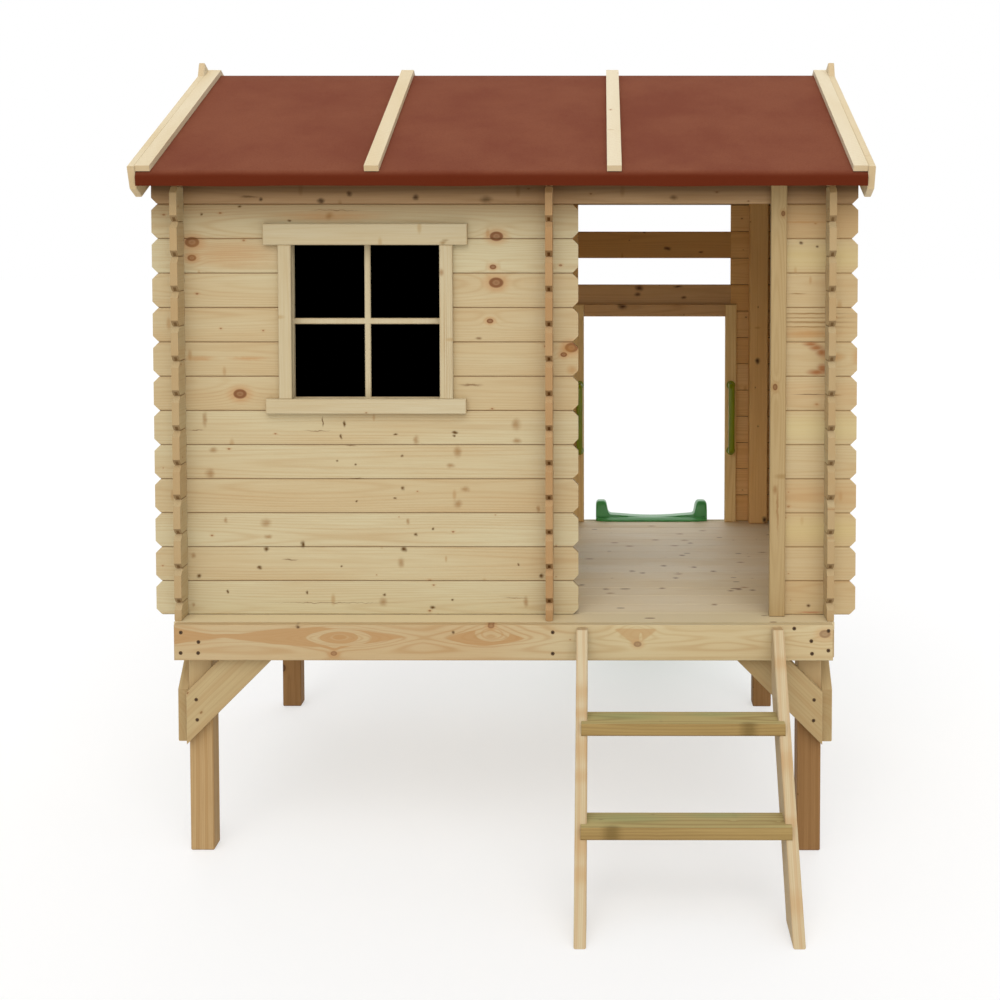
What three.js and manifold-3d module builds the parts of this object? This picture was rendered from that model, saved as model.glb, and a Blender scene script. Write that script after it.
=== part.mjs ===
// A wooden log playhouse on a raised platform, with a ladder in front and a slide behind.
// Millimetres, +Z up, +X to the right of someone facing the ladder, +Y towards the slide.
// Each wall is a stack of tongued boards, fused here into one panel. The panels cross at
// the corners in half-lap notches, course by course, as the real boards do.

import * as THREE from 'three';
import { mergeVertices } from 'three/addons/utils/BufferGeometryUtils.js';
import Module from 'manifold-3d';

const wasm = await Module();
wasm.setup();

// Clearances: between pieces that touch, round a tongue, and the overrun of a cut
const fit = 0.3;
const tongueFit = 0.6;
const overrun = 20;

// Wall boards
const log = {
  pitch: 88,
  thickness: 18,
  overhang: 64,
  grooveDepth: 2.5,
  grooveHalfHeight: 3,
  endChamfer: 15.5,
  tongueHeight: 10,
  tongueThickness: 6,
};
const notchHalfShare = 0.25;

// House, over the outer faces of its walls, with the underside of the roof at the front wall
const house = { width: 1670, depth: 1197, eaveHeight: 1165, partitionX: 114 };
const courses = { wall: 12, gable: 16, rearDoor: 8, upperTransom: 10, roomDoor: 11 };

// Doorways in the walls. The porch begins where the logs of the room end.
const porch = { rightWall: 145 };
const rearDoor = { roomSide: 55, rightWall: 159 };
const roomDoor = { near: 380, width: 440 };

// Window
const pane = { left: -542, width: 377, bottom: 560, height: 392, thickness: 3, lap: 20 };
const windowTrim = {
  thickness: 18,
  sideWidth: 33,
  headerHeight: 54,
  headerOverhang: 38,
  sillHeight: 38,
  sillOverhang: 34,
  roughClearance: 6,
};
const windowFrame = { thickness: 16, width: 34 };
const muntin = { width: 15, thickness: 12, setBack: 2 };

// Trim and posts of the doorways
const trimArris = 2;
const porchJamb = { lap: 14, width: 40, thickness: 18, topGap: 26 };
const rearJamb = { width: 37.5, lap: 19, thickness: 18, headRise: 23 };
const lintelHeight = 40;
const rearPost = { sideGap: 39, width: 61, thickness: 45, topGap: 20, arris: 3 };

// Hand grips beside the rear doorway
const grip = {
  length: 247,
  centreHeight: 350,
  barWidth: 19,
  barThickness: 14,
  standOff: 44,
  bend: 22,
  bevel: 4,
  flangeRadius: 14,
  flangeThickness: 7,
  insetShare: 0.5,
};
const flangeSides = 12;

// Platform
const platform = {
  height: 600,
  frontLedge: 98.5,
  rearLedge: 9,
  fasciaHeight: 90,
  boardThickness: 28,
  fasciaInset: 7,
  deckThickness: 18,
  deckPitch: 88,
  deckGrooveDepth: 1.8,
  deckGrooveHalfWidth: 1.6,
  arris: 2,
};
const leg = { size: 60, arris: 2.5 };
const brace = { width: 95, drop: 181, arris: 2 };

// Ladder
const ladder = {
  leftLap: 3,
  rightLap: 11,
  slope: 53.6,
  stringerDepth: 106,
  stringerThickness: 28,
  topGap: 5,
  topDepth: 26.3,
  arris: 2.5,
};
const tread = { first: 217, rise: 194, depth: 95, thickness: 29, housing: 14, nose: 2, arris: 3 };

// Roof
const roof = {
  pitch: 22.4,
  eaveRun: 121,
  beyondLogs: 21,
  boardThickness: 16,
  boardPitch: 92,
  boardGroove: 2.5,
  feltThickness: 3,
  feltFold: 37,
  battenWidth: 36,
  battenThickness: 15,
  midBattenLeft: -320,
  midBattenRight: 278,
};
const barge = { height: 95, thickness: 18, nose: 10, corner: 34, ridgeLap: 57 };
const ridgeBeam = { width: 45, height: 95 };

// Slide
const slide = {
  offCentre: 8.5,
  doorGap: 48.5,
  railWidth: 42,
  railHeight: 38,
  railDraft: 9,
  railRound: 11,
  bedRise: 9,
  wall: 6,
  bedHeight: 16,
  lipReach: 32,
  lipRun: 22,
  lipEdge: 6,
  lipBow: 5,
  lipCorner: 22,
  topFlat: 4,
  slope: 34,
  topRadius: 180,
  footRadius: 420,
  runOut: 110,
  exitHeight: 112,
};
const roundShare = 0.3;
const bedShares = [0, 0.35, 0.7, 1];
const arcStations = 4;

// Finishes
function finish(color, roughness) {
  return new THREE.MeshStandardMaterial({ color, roughness, metalness: 0 });
}
const pine = finish(0xcdb489, 0.7);
const shadePine = finish(0xb8986a, 0.75);
const impregnated = finish(0xa39566, 0.75);
const felt = finish(0x854b38, 0.95);
const slidePlastic = finish(0x4d8050, 0.4);
const gripPlastic = finish(0x3f7a25, 0.45);
const darkPane = finish(0x050505, 0.1);

// Closed meshes become solids, and solids become meshes again
function toSolid(geometry) {
  geometry.deleteAttribute('normal');
  geometry.deleteAttribute('uv');
  const merged = mergeVertices(geometry);
  return new wasm.Manifold(new wasm.Mesh({
    numProp: 3,
    vertProperties: new Float32Array(merged.attributes.position.array),
    triVerts: new Uint32Array(merged.index.array),
  }));
}

function toGeometry(solid) {
  const mesh = solid.getMesh();
  const geometry = new THREE.BufferGeometry();
  geometry.setAttribute('position', new THREE.BufferAttribute(mesh.vertProperties, 3));
  geometry.setIndex(new THREE.BufferAttribute(mesh.triVerts, 1));
  geometry.computeVertexNormals();
  return geometry;
}

function place(parent, name, solid, material) {
  const mesh = new THREE.Mesh(toGeometry(solid), material);
  mesh.name = name;
  parent.add(mesh);
  return mesh;
}

function block(x0, x1, y0, y1, z0, z1) {
  const geometry = new THREE.BoxGeometry(x1 - x0, y1 - y0, z1 - z0);
  geometry.translate((x0 + x1) / 2, (y0 + y1) / 2, (z0 + z1) / 2);
  return toSolid(geometry);
}

// Prisms: an outline drawn out along one axis, its end edges eased by an arris
function prism(points, length, arris) {
  const shape = new THREE.Shape(points.map(([u, v]) => new THREE.Vector2(u, v)));
  const geometry = new THREE.ExtrudeGeometry(shape, {
    depth: length - 2 * arris,
    bevelEnabled: arris > 0,
    bevelThickness: arris,
    bevelSize: arris,
    bevelOffset: -arris,
    bevelSegments: 1,
  });
  return geometry.translate(0, 0, arris);
}

const yAxis = new THREE.Vector3(0, 1, 0);
const zAxis = new THREE.Vector3(0, 0, 1);
const xAxis = new THREE.Vector3(1, 0, 0);
const towardsX = new THREE.Matrix4().makeBasis(yAxis, zAxis, xAxis);
const towardsY = new THREE.Matrix4().makeBasis(xAxis, zAxis, yAxis.clone().negate());

// An outline in Y and Z, from x0 to x1
function alongX(points, x0, x1, arris = 0) {
  return toSolid(prism(points, x1 - x0, arris).applyMatrix4(towardsX).translate(x0, 0, 0));
}

// An outline in X and Z, from y0 to y1
function alongY(points, y0, y1, arris = 0) {
  return toSolid(prism(points, y1 - y0, arris).applyMatrix4(towardsY).translate(0, y1, 0));
}

// An outline in X and Y, from z0 to z1
function alongZ(points, z0, z1, arris = 0) {
  return toSolid(prism(points, z1 - z0, arris).translate(0, 0, z0));
}

function rectangle(u0, u1, v0, v1) {
  return [[u0, v0], [u1, v0], [u1, v1], [u0, v1]];
}

// A rectangle with its four corners eased
function eased(u0, u1, v0, v1, arris) {
  return [
    [u0 + arris, v0], [u1 - arris, v0], [u1, v0 + arris], [u1, v1 - arris],
    [u1 - arris, v1], [u0 + arris, v1], [u0, v1 - arris], [u0, v0 + arris],
  ];
}

function cutAll(solid, cutters) {
  return cutters.reduce((rest, cutter) => rest.subtract(cutter), solid);
}

// The slope of the roof. s runs up the slope from the outer face of the wall below, and n
// rises square to the slope from the underside of the roof boards.
const pitch = THREE.MathUtils.degToRad(roof.pitch);
const cosPitch = Math.cos(pitch);
const sinPitch = Math.sin(pitch);
const tanPitch = Math.tan(pitch);
const ridgeY = house.depth / 2;
const undersideGap = 2 * fit;

function slopePoint(s, n) {
  return [s * cosPitch - n * sinPitch, house.eaveHeight + s * sinPitch + n * cosPitch];
}
function heightAt(y, n) {
  return house.eaveHeight + y * tanPitch + n / cosPitch;
}
function toRear([y, z]) {
  return [house.depth - y, z];
}

// Outline of all that is over the underside of the roof, to which walls and beam are planed
function overRoof(shift) {
  const low = heightAt(-house.depth, -undersideGap);
  const top = heightAt(house.depth, 0);
  return [
    [-house.depth - shift, low],
    [ridgeY - shift, heightAt(ridgeY, -undersideGap)],
    [house.depth + house.depth - shift, low],
    [house.depth + house.depth - shift, top],
    [-house.depth - shift, top],
  ];
}

// Joints between boards: at whole courses in the long walls and half-way in the cross walls
const wallTop = courses.wall * log.pitch;
const wholeJoints = Array.from({ length: courses.gable }, (_, course) => course * log.pitch);
const halfJoints = wholeJoints.map((z) => z + log.pitch / 2);
const notchHalf = log.pitch * notchHalfShare;
const halfWidth = house.width / 2;
const logEnd = halfWidth + log.overhang;
const sideCentre = halfWidth - log.thickness / 2;
const porchLogEnd = house.partitionX + log.thickness / 2 + log.overhang;
const porchRight = halfWidth - porch.rightWall;
const doorLeft = house.partitionX + rearDoor.roomSide;
const doorRight = halfWidth - rearDoor.rightWall;
const crossWalls = [-sideCentre, house.partitionX, sideCentre];
const longWalls = [log.thickness / 2, house.depth - log.thickness / 2];
const longCourses = {
  grooves: wholeJoints.filter((z) => z <= wallTop),
  notches: wholeJoints,
  crossings: crossWalls,
};
const crossCourses = { grooves: halfJoints, notches: halfJoints, crossings: longWalls };

// Section of a wall through its thickness: V grooves at the joints on both faces
function wallSection(bottom, top, joints, { tongue = false, groove = false } = {}) {
  const depth = log.grooveDepth;
  const half = log.grooveHalfHeight;
  const outer = [[depth, bottom], [0, bottom + half]];
  const clear = (joint) => joint - half > bottom + half && joint + half < top - half;
  for (const z of joints.filter(clear)) {
    outer.push([0, z - half], [depth, z], [0, z + half]);
  }
  outer.push([0, top - half], [depth, top]);
  const inner = outer.map(([u, v]) => [log.thickness - u, v]).reverse();
  const from = (log.thickness - log.tongueThickness) / 2;
  const to = log.thickness - from;
  const tongueTop = top + log.tongueHeight;
  const grooveTop = bottom + log.tongueHeight + tongueFit;
  const ridge = [[from, top], [from, tongueTop], [to, tongueTop], [to, top]];
  const slot = [
    [to + tongueFit, bottom], [to + tongueFit, grooveTop],
    [from - tongueFit, grooveTop], [from - tongueFit, bottom],
  ];
  return [...outer, ...(tongue ? ridge : []), ...inner, ...(groove ? slot : [])];
}

// What a crossing wall takes out of a board wall at each of its joints
function notches(centre, joints) {
  const half = log.thickness / 2 + fit;
  return joints.map((z) => block(
    centre - half, centre + half, -overrun, log.thickness + overrun,
    z - notchHalf - fit, z + notchHalf + fit));
}

// The corners of the log ends, taken off at 45 degrees. Side is -1 or 1 along the wall.
function endChamfers(end, side, joints) {
  const reach = log.endChamfer + overrun;
  return joints.map((z) => alongY([
    [end - side * log.endChamfer, z],
    [end + side * overrun, z - reach],
    [end + side * overrun, z + reach],
  ], -overrun, log.thickness + overrun));
}

// A wall of boards along X in its own frame, with its thickness from y = 0
function boardWall(x0, x1, bottom, top, laid, ends, lips) {
  const near = (z) => z > bottom - log.pitch && z < top + log.pitch;
  const crossed = laid.crossings.filter((centre) => centre > x0 && centre < x1);
  return cutAll(alongX(wallSection(bottom, top, laid.grooves, lips), x0, x1), [
    ...crossed.flatMap((centre) => notches(centre, laid.notches.filter(near))),
    ...ends.flatMap(([end, side]) => endChamfers(end, side, laid.grooves.filter(near))),
  ]);
}

// Front and rear walls
const bothEnds = [[-logEnd, -1], [logEnd, 1]];

function topLog(shift) {
  const peak = heightAt(log.thickness, 0);
  const lips = { groove: true };
  const board = boardWall(-logEnd, logEnd, wallTop + fit, peak, longCourses, bothEnds, lips);
  return board.subtract(alongX(overRoof(shift), -logEnd - overrun, logEnd + overrun));
}

function buildFrontWall(parent) {
  const lips = { tongue: true };
  const ends = [[-logEnd, -1], [porchLogEnd, 1]];
  const more = windowTrim.roughClearance;
  const roughWindow = block(
    pane.left - more, pane.left + pane.width + more, -overrun, log.thickness + overrun,
    pane.bottom - more, pane.bottom + pane.height + more);
  const left = boardWall(-logEnd, porchLogEnd, fit, wallTop, longCourses, ends, lips);
  const right = boardWall(
    porchRight, logEnd, fit, wallTop, longCourses, [[logEnd, 1]], lips);
  place(parent, 'front_wall_left', left.subtract(roughWindow), pine);
  place(parent, 'front_wall_right', right, pine);
  place(parent, 'front_top_log', topLog(0), pine);
}

// Two boards span the rear doorway, with an open slot over each of them
function transom(course) {
  const lips = { groove: true };
  const bottom = course * log.pitch;
  const section = wallSection(bottom, bottom + log.pitch, [], lips);
  return alongX(section, doorLeft + fit, doorRight - fit);
}

function buildRearWall(parent) {
  const wall = new THREE.Group();
  wall.position.y = house.depth - log.thickness;
  parent.add(wall);
  const lips = { tongue: true };
  const left = boardWall(
    -logEnd, doorLeft, fit, wallTop, longCourses, [[-logEnd, -1]], lips);
  const right = boardWall(
    doorRight, logEnd, fit, wallTop, longCourses, [[logEnd, 1]], lips);
  place(wall, 'rear_wall_left', left, pine);
  place(wall, 'rear_wall_right', right, pine);
  place(wall, 'rear_transom_lower', transom(courses.rearDoor), pine);
  place(wall, 'rear_transom_upper', transom(courses.upperTransom), pine);
  place(wall, 'rear_top_log', topLog(wall.position.y), pine);
}

// Side walls and partition, turned a quarter so that their boards run along Y
const ridgeBeamTop = heightAt(ridgeY, -undersideGap);
const ridgeBeamBottom = ridgeBeamTop - ridgeBeam.height;

function crossWall() {
  const near = -log.overhang;
  const far = house.depth + log.overhang;
  const peak = heightAt(ridgeY, 0);
  const beamHalf = ridgeBeam.width / 2 + fit;
  const beamSlot = block(
    ridgeY - beamHalf, ridgeY + beamHalf, -overrun, log.thickness + overrun,
    ridgeBeamBottom - fit, peak + overrun);
  const wall = boardWall(near, far, fit, peak, crossCourses, [[near, -1], [far, 1]], {});
  return cutAll(wall, [alongY(overRoof(0), -overrun, log.thickness + overrun), beamSlot]);
}

function placeCrossWall(parent, name, solid, centreX) {
  const mesh = place(parent, name, solid, pine);
  mesh.rotation.z = Math.PI / 2;
  mesh.position.x = centreX + log.thickness / 2;
}

function buildCrossWalls(parent) {
  const doorway = block(
    roomDoor.near, roomDoor.near + roomDoor.width, -overrun, log.thickness + overrun,
    -overrun, halfJoints[courses.roomDoor]);
  placeCrossWall(parent, 'side_wall_left', crossWall(), -sideCentre);
  placeCrossWall(parent, 'side_wall_right', crossWall(), sideCentre);
  placeCrossWall(parent, 'partition_wall', crossWall().subtract(doorway), house.partitionX);
}

// Boards with every edge eased, their thickness along Y
function trimBoard(x0, x1, face, thickness, z0, z1) {
  return alongY(rectangle(x0, x1, z0, z1), face, face + thickness, trimArris);
}

// Window: trim outside, a sash with its glazing cross inside, and a dark pane behind it
function buildWindow(parent) {
  const right = pane.left + pane.width;
  const top = pane.bottom + pane.height;
  const face = -windowTrim.thickness - fit;
  const outerLeft = pane.left - windowTrim.sideWidth;
  const outerRight = right + windowTrim.sideWidth;
  const board = (x0, x1, z0, z1) => trimBoard(x0, x1, face, windowTrim.thickness, z0, z1);
  place(parent, 'window_header', board(
    outerLeft - windowTrim.headerOverhang, outerRight + windowTrim.headerOverhang,
    top + fit, top + fit + windowTrim.headerHeight), pine);
  place(parent, 'window_sill', board(
    outerLeft - windowTrim.sillOverhang, outerRight + windowTrim.sillOverhang,
    pane.bottom - fit - windowTrim.sillHeight, pane.bottom - fit), pine);
  place(parent, 'window_trim_left', board(outerLeft, pane.left, pane.bottom, top), pine);
  place(parent, 'window_trim_right', board(right, outerRight, pane.bottom, top), pine);

  const sashFace = log.thickness + fit;
  const sashBack = sashFace + windowFrame.thickness;
  const edge = windowFrame.width;
  const centreX = pane.left + pane.width / 2;
  const centreZ = pane.bottom + pane.height / 2;
  const half = muntin.width / 2;
  const barFace = sashFace + muntin.setBack;
  const barBack = barFace + muntin.thickness;
  const outer = alongY(rectangle(
    pane.left - edge, right + edge, pane.bottom - edge, top + edge), sashFace, sashBack, trimArris);
  const hole = block(
    pane.left, right, sashFace - overrun, sashBack + overrun, pane.bottom, top);
  const upright = alongY(rectangle(
    centreX - half, centreX + half, pane.bottom - edge / 2, top + edge / 2),
  barFace, barBack, trimArris);
  const crossbar = alongY(rectangle(
    pane.left - edge / 2, right + edge / 2, centreZ - half, centreZ + half),
  barFace, barBack, trimArris);
  place(parent, 'window_sash', outer.subtract(hole).add(upright).add(crossbar), pine);
  place(parent, 'window_pane', block(
    pane.left - pane.lap, right + pane.lap, sashBack + fit, sashBack + fit + pane.thickness,
    pane.bottom - pane.lap, top + pane.lap), darkPane);
}

// Jambs, lintel and the post inside the rear wall
const rearFace = house.depth - log.thickness;
const jambFace = rearFace - fit - rearJamb.thickness;
const rearHead = courses.rearDoor * log.pitch;
const jambLeftEdge = doorLeft + rearJamb.lap;
const jambRightEdge = doorRight - rearJamb.lap;

function buildDoorTrim(parent) {
  const jambTop = rearHead + rearJamb.headRise;
  const board = (x0, x1, z0, z1) => trimBoard(x0, x1, jambFace, rearJamb.thickness, z0, z1);
  const porchFace = -porchJamb.thickness - fit;
  const porchSide = porchRight - porchJamb.lap;
  place(parent, 'porch_jamb', trimBoard(
    porchSide, porchSide + porchJamb.width, porchFace, porchJamb.thickness,
    fit, house.eaveHeight - porchJamb.topGap), pine);
  place(parent, 'rear_jamb_left', board(
    jambLeftEdge - rearJamb.width, jambLeftEdge, fit, jambTop), pine);
  place(parent, 'rear_jamb_right', board(
    jambRightEdge, jambRightEdge + rearJamb.width, fit, jambTop), pine);
  place(parent, 'rear_lintel', board(
    jambLeftEdge + fit, jambRightEdge - fit, jambTop - lintelHeight, jambTop), pine);
  const postRight = halfWidth - rearPost.sideGap;
  place(parent, 'rear_post', alongZ(eased(
    postRight - rearPost.width, postRight,
    rearFace - fit - rearPost.thickness, rearFace - fit, rearPost.arris),
  fit, house.eaveHeight - rearPost.topGap, rearPost.arris), pine);
}

// A bowed bar on two round flanges
function buildGrip(centreX) {
  const face = jambFace - fit;
  const front = face - grip.standOff;
  const low = grip.centreHeight - grip.length / 2;
  const high = grip.centreHeight + grip.length / 2;
  const inset = grip.flangeRadius - grip.barThickness * grip.insetShare;
  const start = low + inset;
  const end = high - inset;
  const inner = grip.bend - grip.barThickness * grip.insetShare;
  const back = front + grip.barThickness;
  const bar = alongX([
    [face - grip.bevel, start], [front + grip.bend, start], [front, start + grip.bend],
    [front, end - grip.bend], [front + grip.bend, end], [face - grip.bevel, end],
    [face - grip.bevel, end - grip.barThickness],
    [back + inner, end - grip.barThickness], [back, end - grip.barThickness - inner],
    [back, start + grip.barThickness + inner], [back + inner, start + grip.barThickness],
    [face - grip.bevel, start + grip.barThickness],
  ], centreX - grip.barWidth / 2, centreX + grip.barWidth / 2, grip.bevel);
  const flange = (height) => toSolid(new THREE.CylinderGeometry(
    grip.flangeRadius, grip.flangeRadius - grip.bevel / 2, grip.flangeThickness, flangeSides)
    .translate(centreX, face - grip.flangeThickness / 2, height));
  return bar.add(flange(low + grip.flangeRadius)).add(flange(high - grip.flangeRadius));
}

function buildGrips(parent) {
  const left = buildGrip(jambLeftEdge - grip.flangeRadius);
  const right = buildGrip(jambRightEdge + rearJamb.width * grip.insetShare);
  place(parent, 'grip_left', left, gripPlastic);
  place(parent, 'grip_right', right, gripPlastic);
}

// Platform, from its fascias inwards
const board = platform.boardThickness;
const frontFascia = { from: -platform.frontLedge, to: -platform.frontLedge + board };
const frontRim = { from: frontFascia.to + fit, to: frontFascia.to + fit + board };
const rearFascia = {
  from: house.depth + platform.rearLedge - board,
  to: house.depth + platform.rearLedge,
};
const rearRim = { from: rearFascia.from - fit - board, to: rearFascia.from - fit };
const frontLeg = { from: frontRim.to + fit, to: frontRim.to + fit + leg.size };
const rearLeg = { from: rearRim.from - fit - leg.size, to: rearRim.from - fit };
const deckBottom = platform.height - platform.deckThickness;
const frameTop = deckBottom - fit;
const fasciaBottom = platform.height - platform.fasciaHeight;
const fasciaHalf = halfWidth - platform.fasciaInset;
const legOuter = halfWidth - board - fit;
const sideRimFace = legOuter + fit;

function deckSection() {
  const front = frontFascia.to + fit;
  const rear = rearFascia.from - fit;
  const half = platform.deckGrooveHalfWidth;
  const joints = [];
  for (let y = front + platform.deckPitch; y < rear - half; y += platform.deckPitch) {
    joints.push(
      [y - half, platform.height],
      [y, platform.height - platform.deckGrooveDepth],
      [y + half, platform.height]);
  }
  return [
    [front, deckBottom], [rear, deckBottom], [rear, platform.height],
    ...joints.reverse(), [front, platform.height],
  ];
}

function buildFrame(parent) {
  const facing = ({ from, to }, reach, top) => alongY(
    rectangle(-reach, reach, fasciaBottom, top), from, to, platform.arris);
  const side = (x0) => alongX(
    rectangle(frontRim.from, rearRim.to, fasciaBottom, frameTop), x0, x0 + board, platform.arris);
  place(parent, 'deck', alongX(deckSection(), -halfWidth, halfWidth), pine);
  place(parent, 'fascia_front', facing(frontFascia, fasciaHalf, platform.height), pine);
  place(parent, 'fascia_rear', facing(rearFascia, fasciaHalf, platform.height), pine);
  place(parent, 'rim_front', facing(frontRim, legOuter, frameTop), shadePine);
  place(parent, 'rim_rear', facing(rearRim, legOuter, frameTop), shadePine);
  place(parent, 'rim_left', side(-sideRimFace - board), shadePine);
  place(parent, 'rim_right', side(sideRimFace), shadePine);
}

function buildLegs(parent) {
  const inner = legOuter - leg.size;
  const post = (x0, x1, { from, to }) => alongZ(
    eased(x0, x1, from, to, leg.arris), 0, frameTop, leg.arris);
  place(parent, 'leg_front_left', post(-legOuter, -inner, frontLeg), pine);
  place(parent, 'leg_front_right', post(inner, legOuter, frontLeg), pine);
  place(parent, 'leg_rear_left', post(-legOuter, -inner, rearLeg), pine);
  place(parent, 'leg_rear_right', post(inner, legOuter, rearLeg), pine);
}

// Braces at 45 degrees, from a plumb cut at the edge of a leg to a level cut under the rim
function braceOutline(edge, side) {
  const under = fasciaBottom - fit;
  const upper = platform.height - brace.drop;
  const lower = upper - brace.width * Math.SQRT2;
  return [
    [edge, lower], [edge + side * (under - lower), under],
    [edge + side * (under - upper), under], [edge, upper],
  ];
}

function buildBraces(parent) {
  const across = (edge, side, { from, to }) => alongY(
    braceOutline(edge, side), from, to, brace.arris);
  const along = (edge, side, x0) => alongX(braceOutline(edge, side), x0, x0 + board, brace.arris);
  const leftFace = -sideRimFace - board;
  place(parent, 'brace_front_left', across(-legOuter, 1, frontRim), shadePine);
  place(parent, 'brace_front_right', across(legOuter, -1, frontRim), shadePine);
  place(parent, 'brace_rear_left', across(-legOuter, 1, rearRim), shadePine);
  place(parent, 'brace_rear_right', across(legOuter, -1, rearRim), shadePine);
  place(parent, 'brace_side_front_left', along(frontLeg.from, 1, leftFace), shadePine);
  place(parent, 'brace_side_front_right', along(frontLeg.from, 1, sideRimFace), shadePine);
  place(parent, 'brace_side_rear_left', along(rearLeg.to, -1, leftFace), shadePine);
  place(parent, 'brace_side_rear_right', along(rearLeg.to, -1, sideRimFace), shadePine);
}

// Ladder: inclined stringers against the front fascia, with treads housed into them
const incline = THREE.MathUtils.degToRad(ladder.slope);
const ladderBack = frontFascia.from - fit;
const ladderLeft = porchLogEnd - ladder.leftLap;
const ladderRight = porchRight + ladder.rightLap;
const ladderTop = platform.height - ladder.topGap;
const footFront = frontFascia.from - ladder.topDepth - ladderTop / Math.tan(incline);
const footLength = ladder.stringerDepth / Math.sin(incline);

function frontEdgeAt(z) {
  return footFront + z / Math.tan(incline);
}

function treadBlock(index, ease, arris) {
  const top = tread.first + index * tread.rise;
  const front = frontEdgeAt(top - tread.thickness) - tread.nose;
  const inset = ladder.stringerThickness - tread.housing - ease;
  return alongX(eased(
    front - ease, front + tread.depth + ease, top - tread.thickness - ease, top + ease,
    arris), ladderLeft + inset, ladderRight - inset);
}

function buildLadder(parent) {
  const outline = [
    [footFront, 0], [footFront + footLength, 0],
    [ladderBack, (ladderBack - footFront - footLength) * Math.tan(incline)],
    [ladderBack, ladderTop], [frontEdgeAt(ladderTop), ladderTop],
  ];
  const housings = [0, 1].map((index) => treadBlock(index, fit, tread.arris));
  const stringer = (x0) => cutAll(
    alongX(outline, x0, x0 + ladder.stringerThickness, ladder.arris), housings);
  place(parent, 'ladder_stringer_left', stringer(ladderLeft), pine);
  place(
    parent, 'ladder_stringer_right', stringer(ladderRight - ladder.stringerThickness), pine);
  place(parent, 'ladder_tread_lower', treadBlock(0, 0, tread.arris), impregnated);
  place(parent, 'ladder_tread_upper', treadBlock(1, 0, tread.arris), impregnated);
}

// Roof boards: two slopes, grooved beneath at every joint
const roofHalf = logEnd + roof.beyondLogs;
const boardReach = roofHalf - barge.thickness - fit;
const feltUnder = roof.boardThickness + fit;
const feltOver = feltUnder + roof.feltThickness;
const eaveY = -roof.eaveRun;
const boardEave = eaveY + roof.feltThickness + fit;
const ridgeS = ridgeY / cosPitch;

function roofBoardOutline() {
  const joints = [];
  for (let s = ridgeS - roof.boardPitch; s > boardEave / cosPitch; s -= roof.boardPitch) {
    joints.push(
      slopePoint(s + roof.boardGroove, 0),
      slopePoint(s, roof.boardGroove),
      slopePoint(s - roof.boardGroove, 0));
  }
  const last = ridgeY - fit / 2;
  return [
    [boardEave, heightAt(boardEave, roof.boardThickness)],
    [last, heightAt(last, roof.boardThickness)],
    [last, heightAt(last, 0)],
    ...joints.filter(([y]) => y > boardEave + roof.boardPitch / 2),
    [boardEave, heightAt(boardEave, 0)],
  ];
}

function feltOutline() {
  const inner = eaveY + roof.feltThickness;
  const outerTop = [eaveY, heightAt(eaveY, feltOver)];
  const innerTop = [inner, heightAt(inner, feltUnder)];
  const foldBottom = outerTop[1] - roof.feltFold;
  return [
    [eaveY, foldBottom], outerTop, [ridgeY, heightAt(ridgeY, feltOver)],
    toRear(outerTop), toRear([eaveY, foldBottom]), toRear([inner, foldBottom]),
    toRear(innerTop), [ridgeY, heightAt(ridgeY, feltUnder)], innerTop, [inner, foldBottom],
  ];
}

function battenOutline() {
  const under = feltOver + fit;
  const over = under + roof.battenThickness;
  const end = (eaveY + feltOver * sinPitch) / cosPitch;
  const low = slopePoint(end, under);
  const high = slopePoint(end, over);
  return [
    low, [ridgeY, heightAt(ridgeY, under)], toRear(low),
    toRear(high), [ridgeY, heightAt(ridgeY, over)], high,
  ];
}

// Barge boards: cut square at the eave with the lower corner taken off, the rear ones running on
// over the ridge
function bargeOutline(rear) {
  const high = feltOver + fit + roof.battenThickness;
  const low = high - barge.height;
  const nose = (eaveY - barge.nose + high * sinPitch) / cosPitch;
  const end = ridgeS + barge.ridgeLap;
  const cut = (n) => (house.depth * cosPitch + n * Math.sin(2 * pitch) - end - fit)
    / Math.cos(2 * pitch);
  return [
    slopePoint(nose, high), slopePoint(nose, low + barge.corner),
    slopePoint(nose + barge.corner, low),
    slopePoint(rear ? end : cut(low), low), slopePoint(rear ? end : cut(high), high),
  ];
}

function buildRoof(parent) {
  const boards = roofBoardOutline();
  const beam = block(
    -boardReach, boardReach, ridgeY - ridgeBeam.width / 2, ridgeY + ridgeBeam.width / 2,
    ridgeBeamBottom, ridgeBeamTop);
  const half = roof.battenWidth / 2;
  const edgeCentre = boardReach - half;
  const batten = (centre) => alongX(battenOutline(), centre - half, centre + half);
  const outer = roofHalf;
  const inner = outer - barge.thickness;
  const front = bargeOutline(false);
  const rear = bargeOutline(true).map(toRear);
  place(parent, 'roof_boards_front', alongX(boards, -boardReach, boardReach), pine);
  place(parent, 'roof_boards_rear', alongX(boards.map(toRear), -boardReach, boardReach), pine);
  place(parent, 'ridge_beam', beam.subtract(
    alongX(overRoof(0), -outer - overrun, outer + overrun)), shadePine);
  place(parent, 'roof_felt', alongX(feltOutline(), -boardReach, boardReach), felt);
  place(parent, 'roof_batten_left', batten(-edgeCentre), pine);
  place(parent, 'roof_batten_mid_left', batten(roof.midBattenLeft), pine);
  place(parent, 'roof_batten_mid_right', batten(roof.midBattenRight), pine);
  place(parent, 'roof_batten_right', batten(edgeCentre), pine);
  place(parent, 'barge_front_left', alongX(front, -outer, -inner, trimArris), pine);
  place(parent, 'barge_front_right', alongX(front, inner, outer, trimArris), pine);
  place(parent, 'barge_rear_left', alongX(rear, -outer, -inner, trimArris), pine);
  place(parent, 'barge_rear_right', alongX(rear, inner, outer, trimArris), pine);
}

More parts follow.
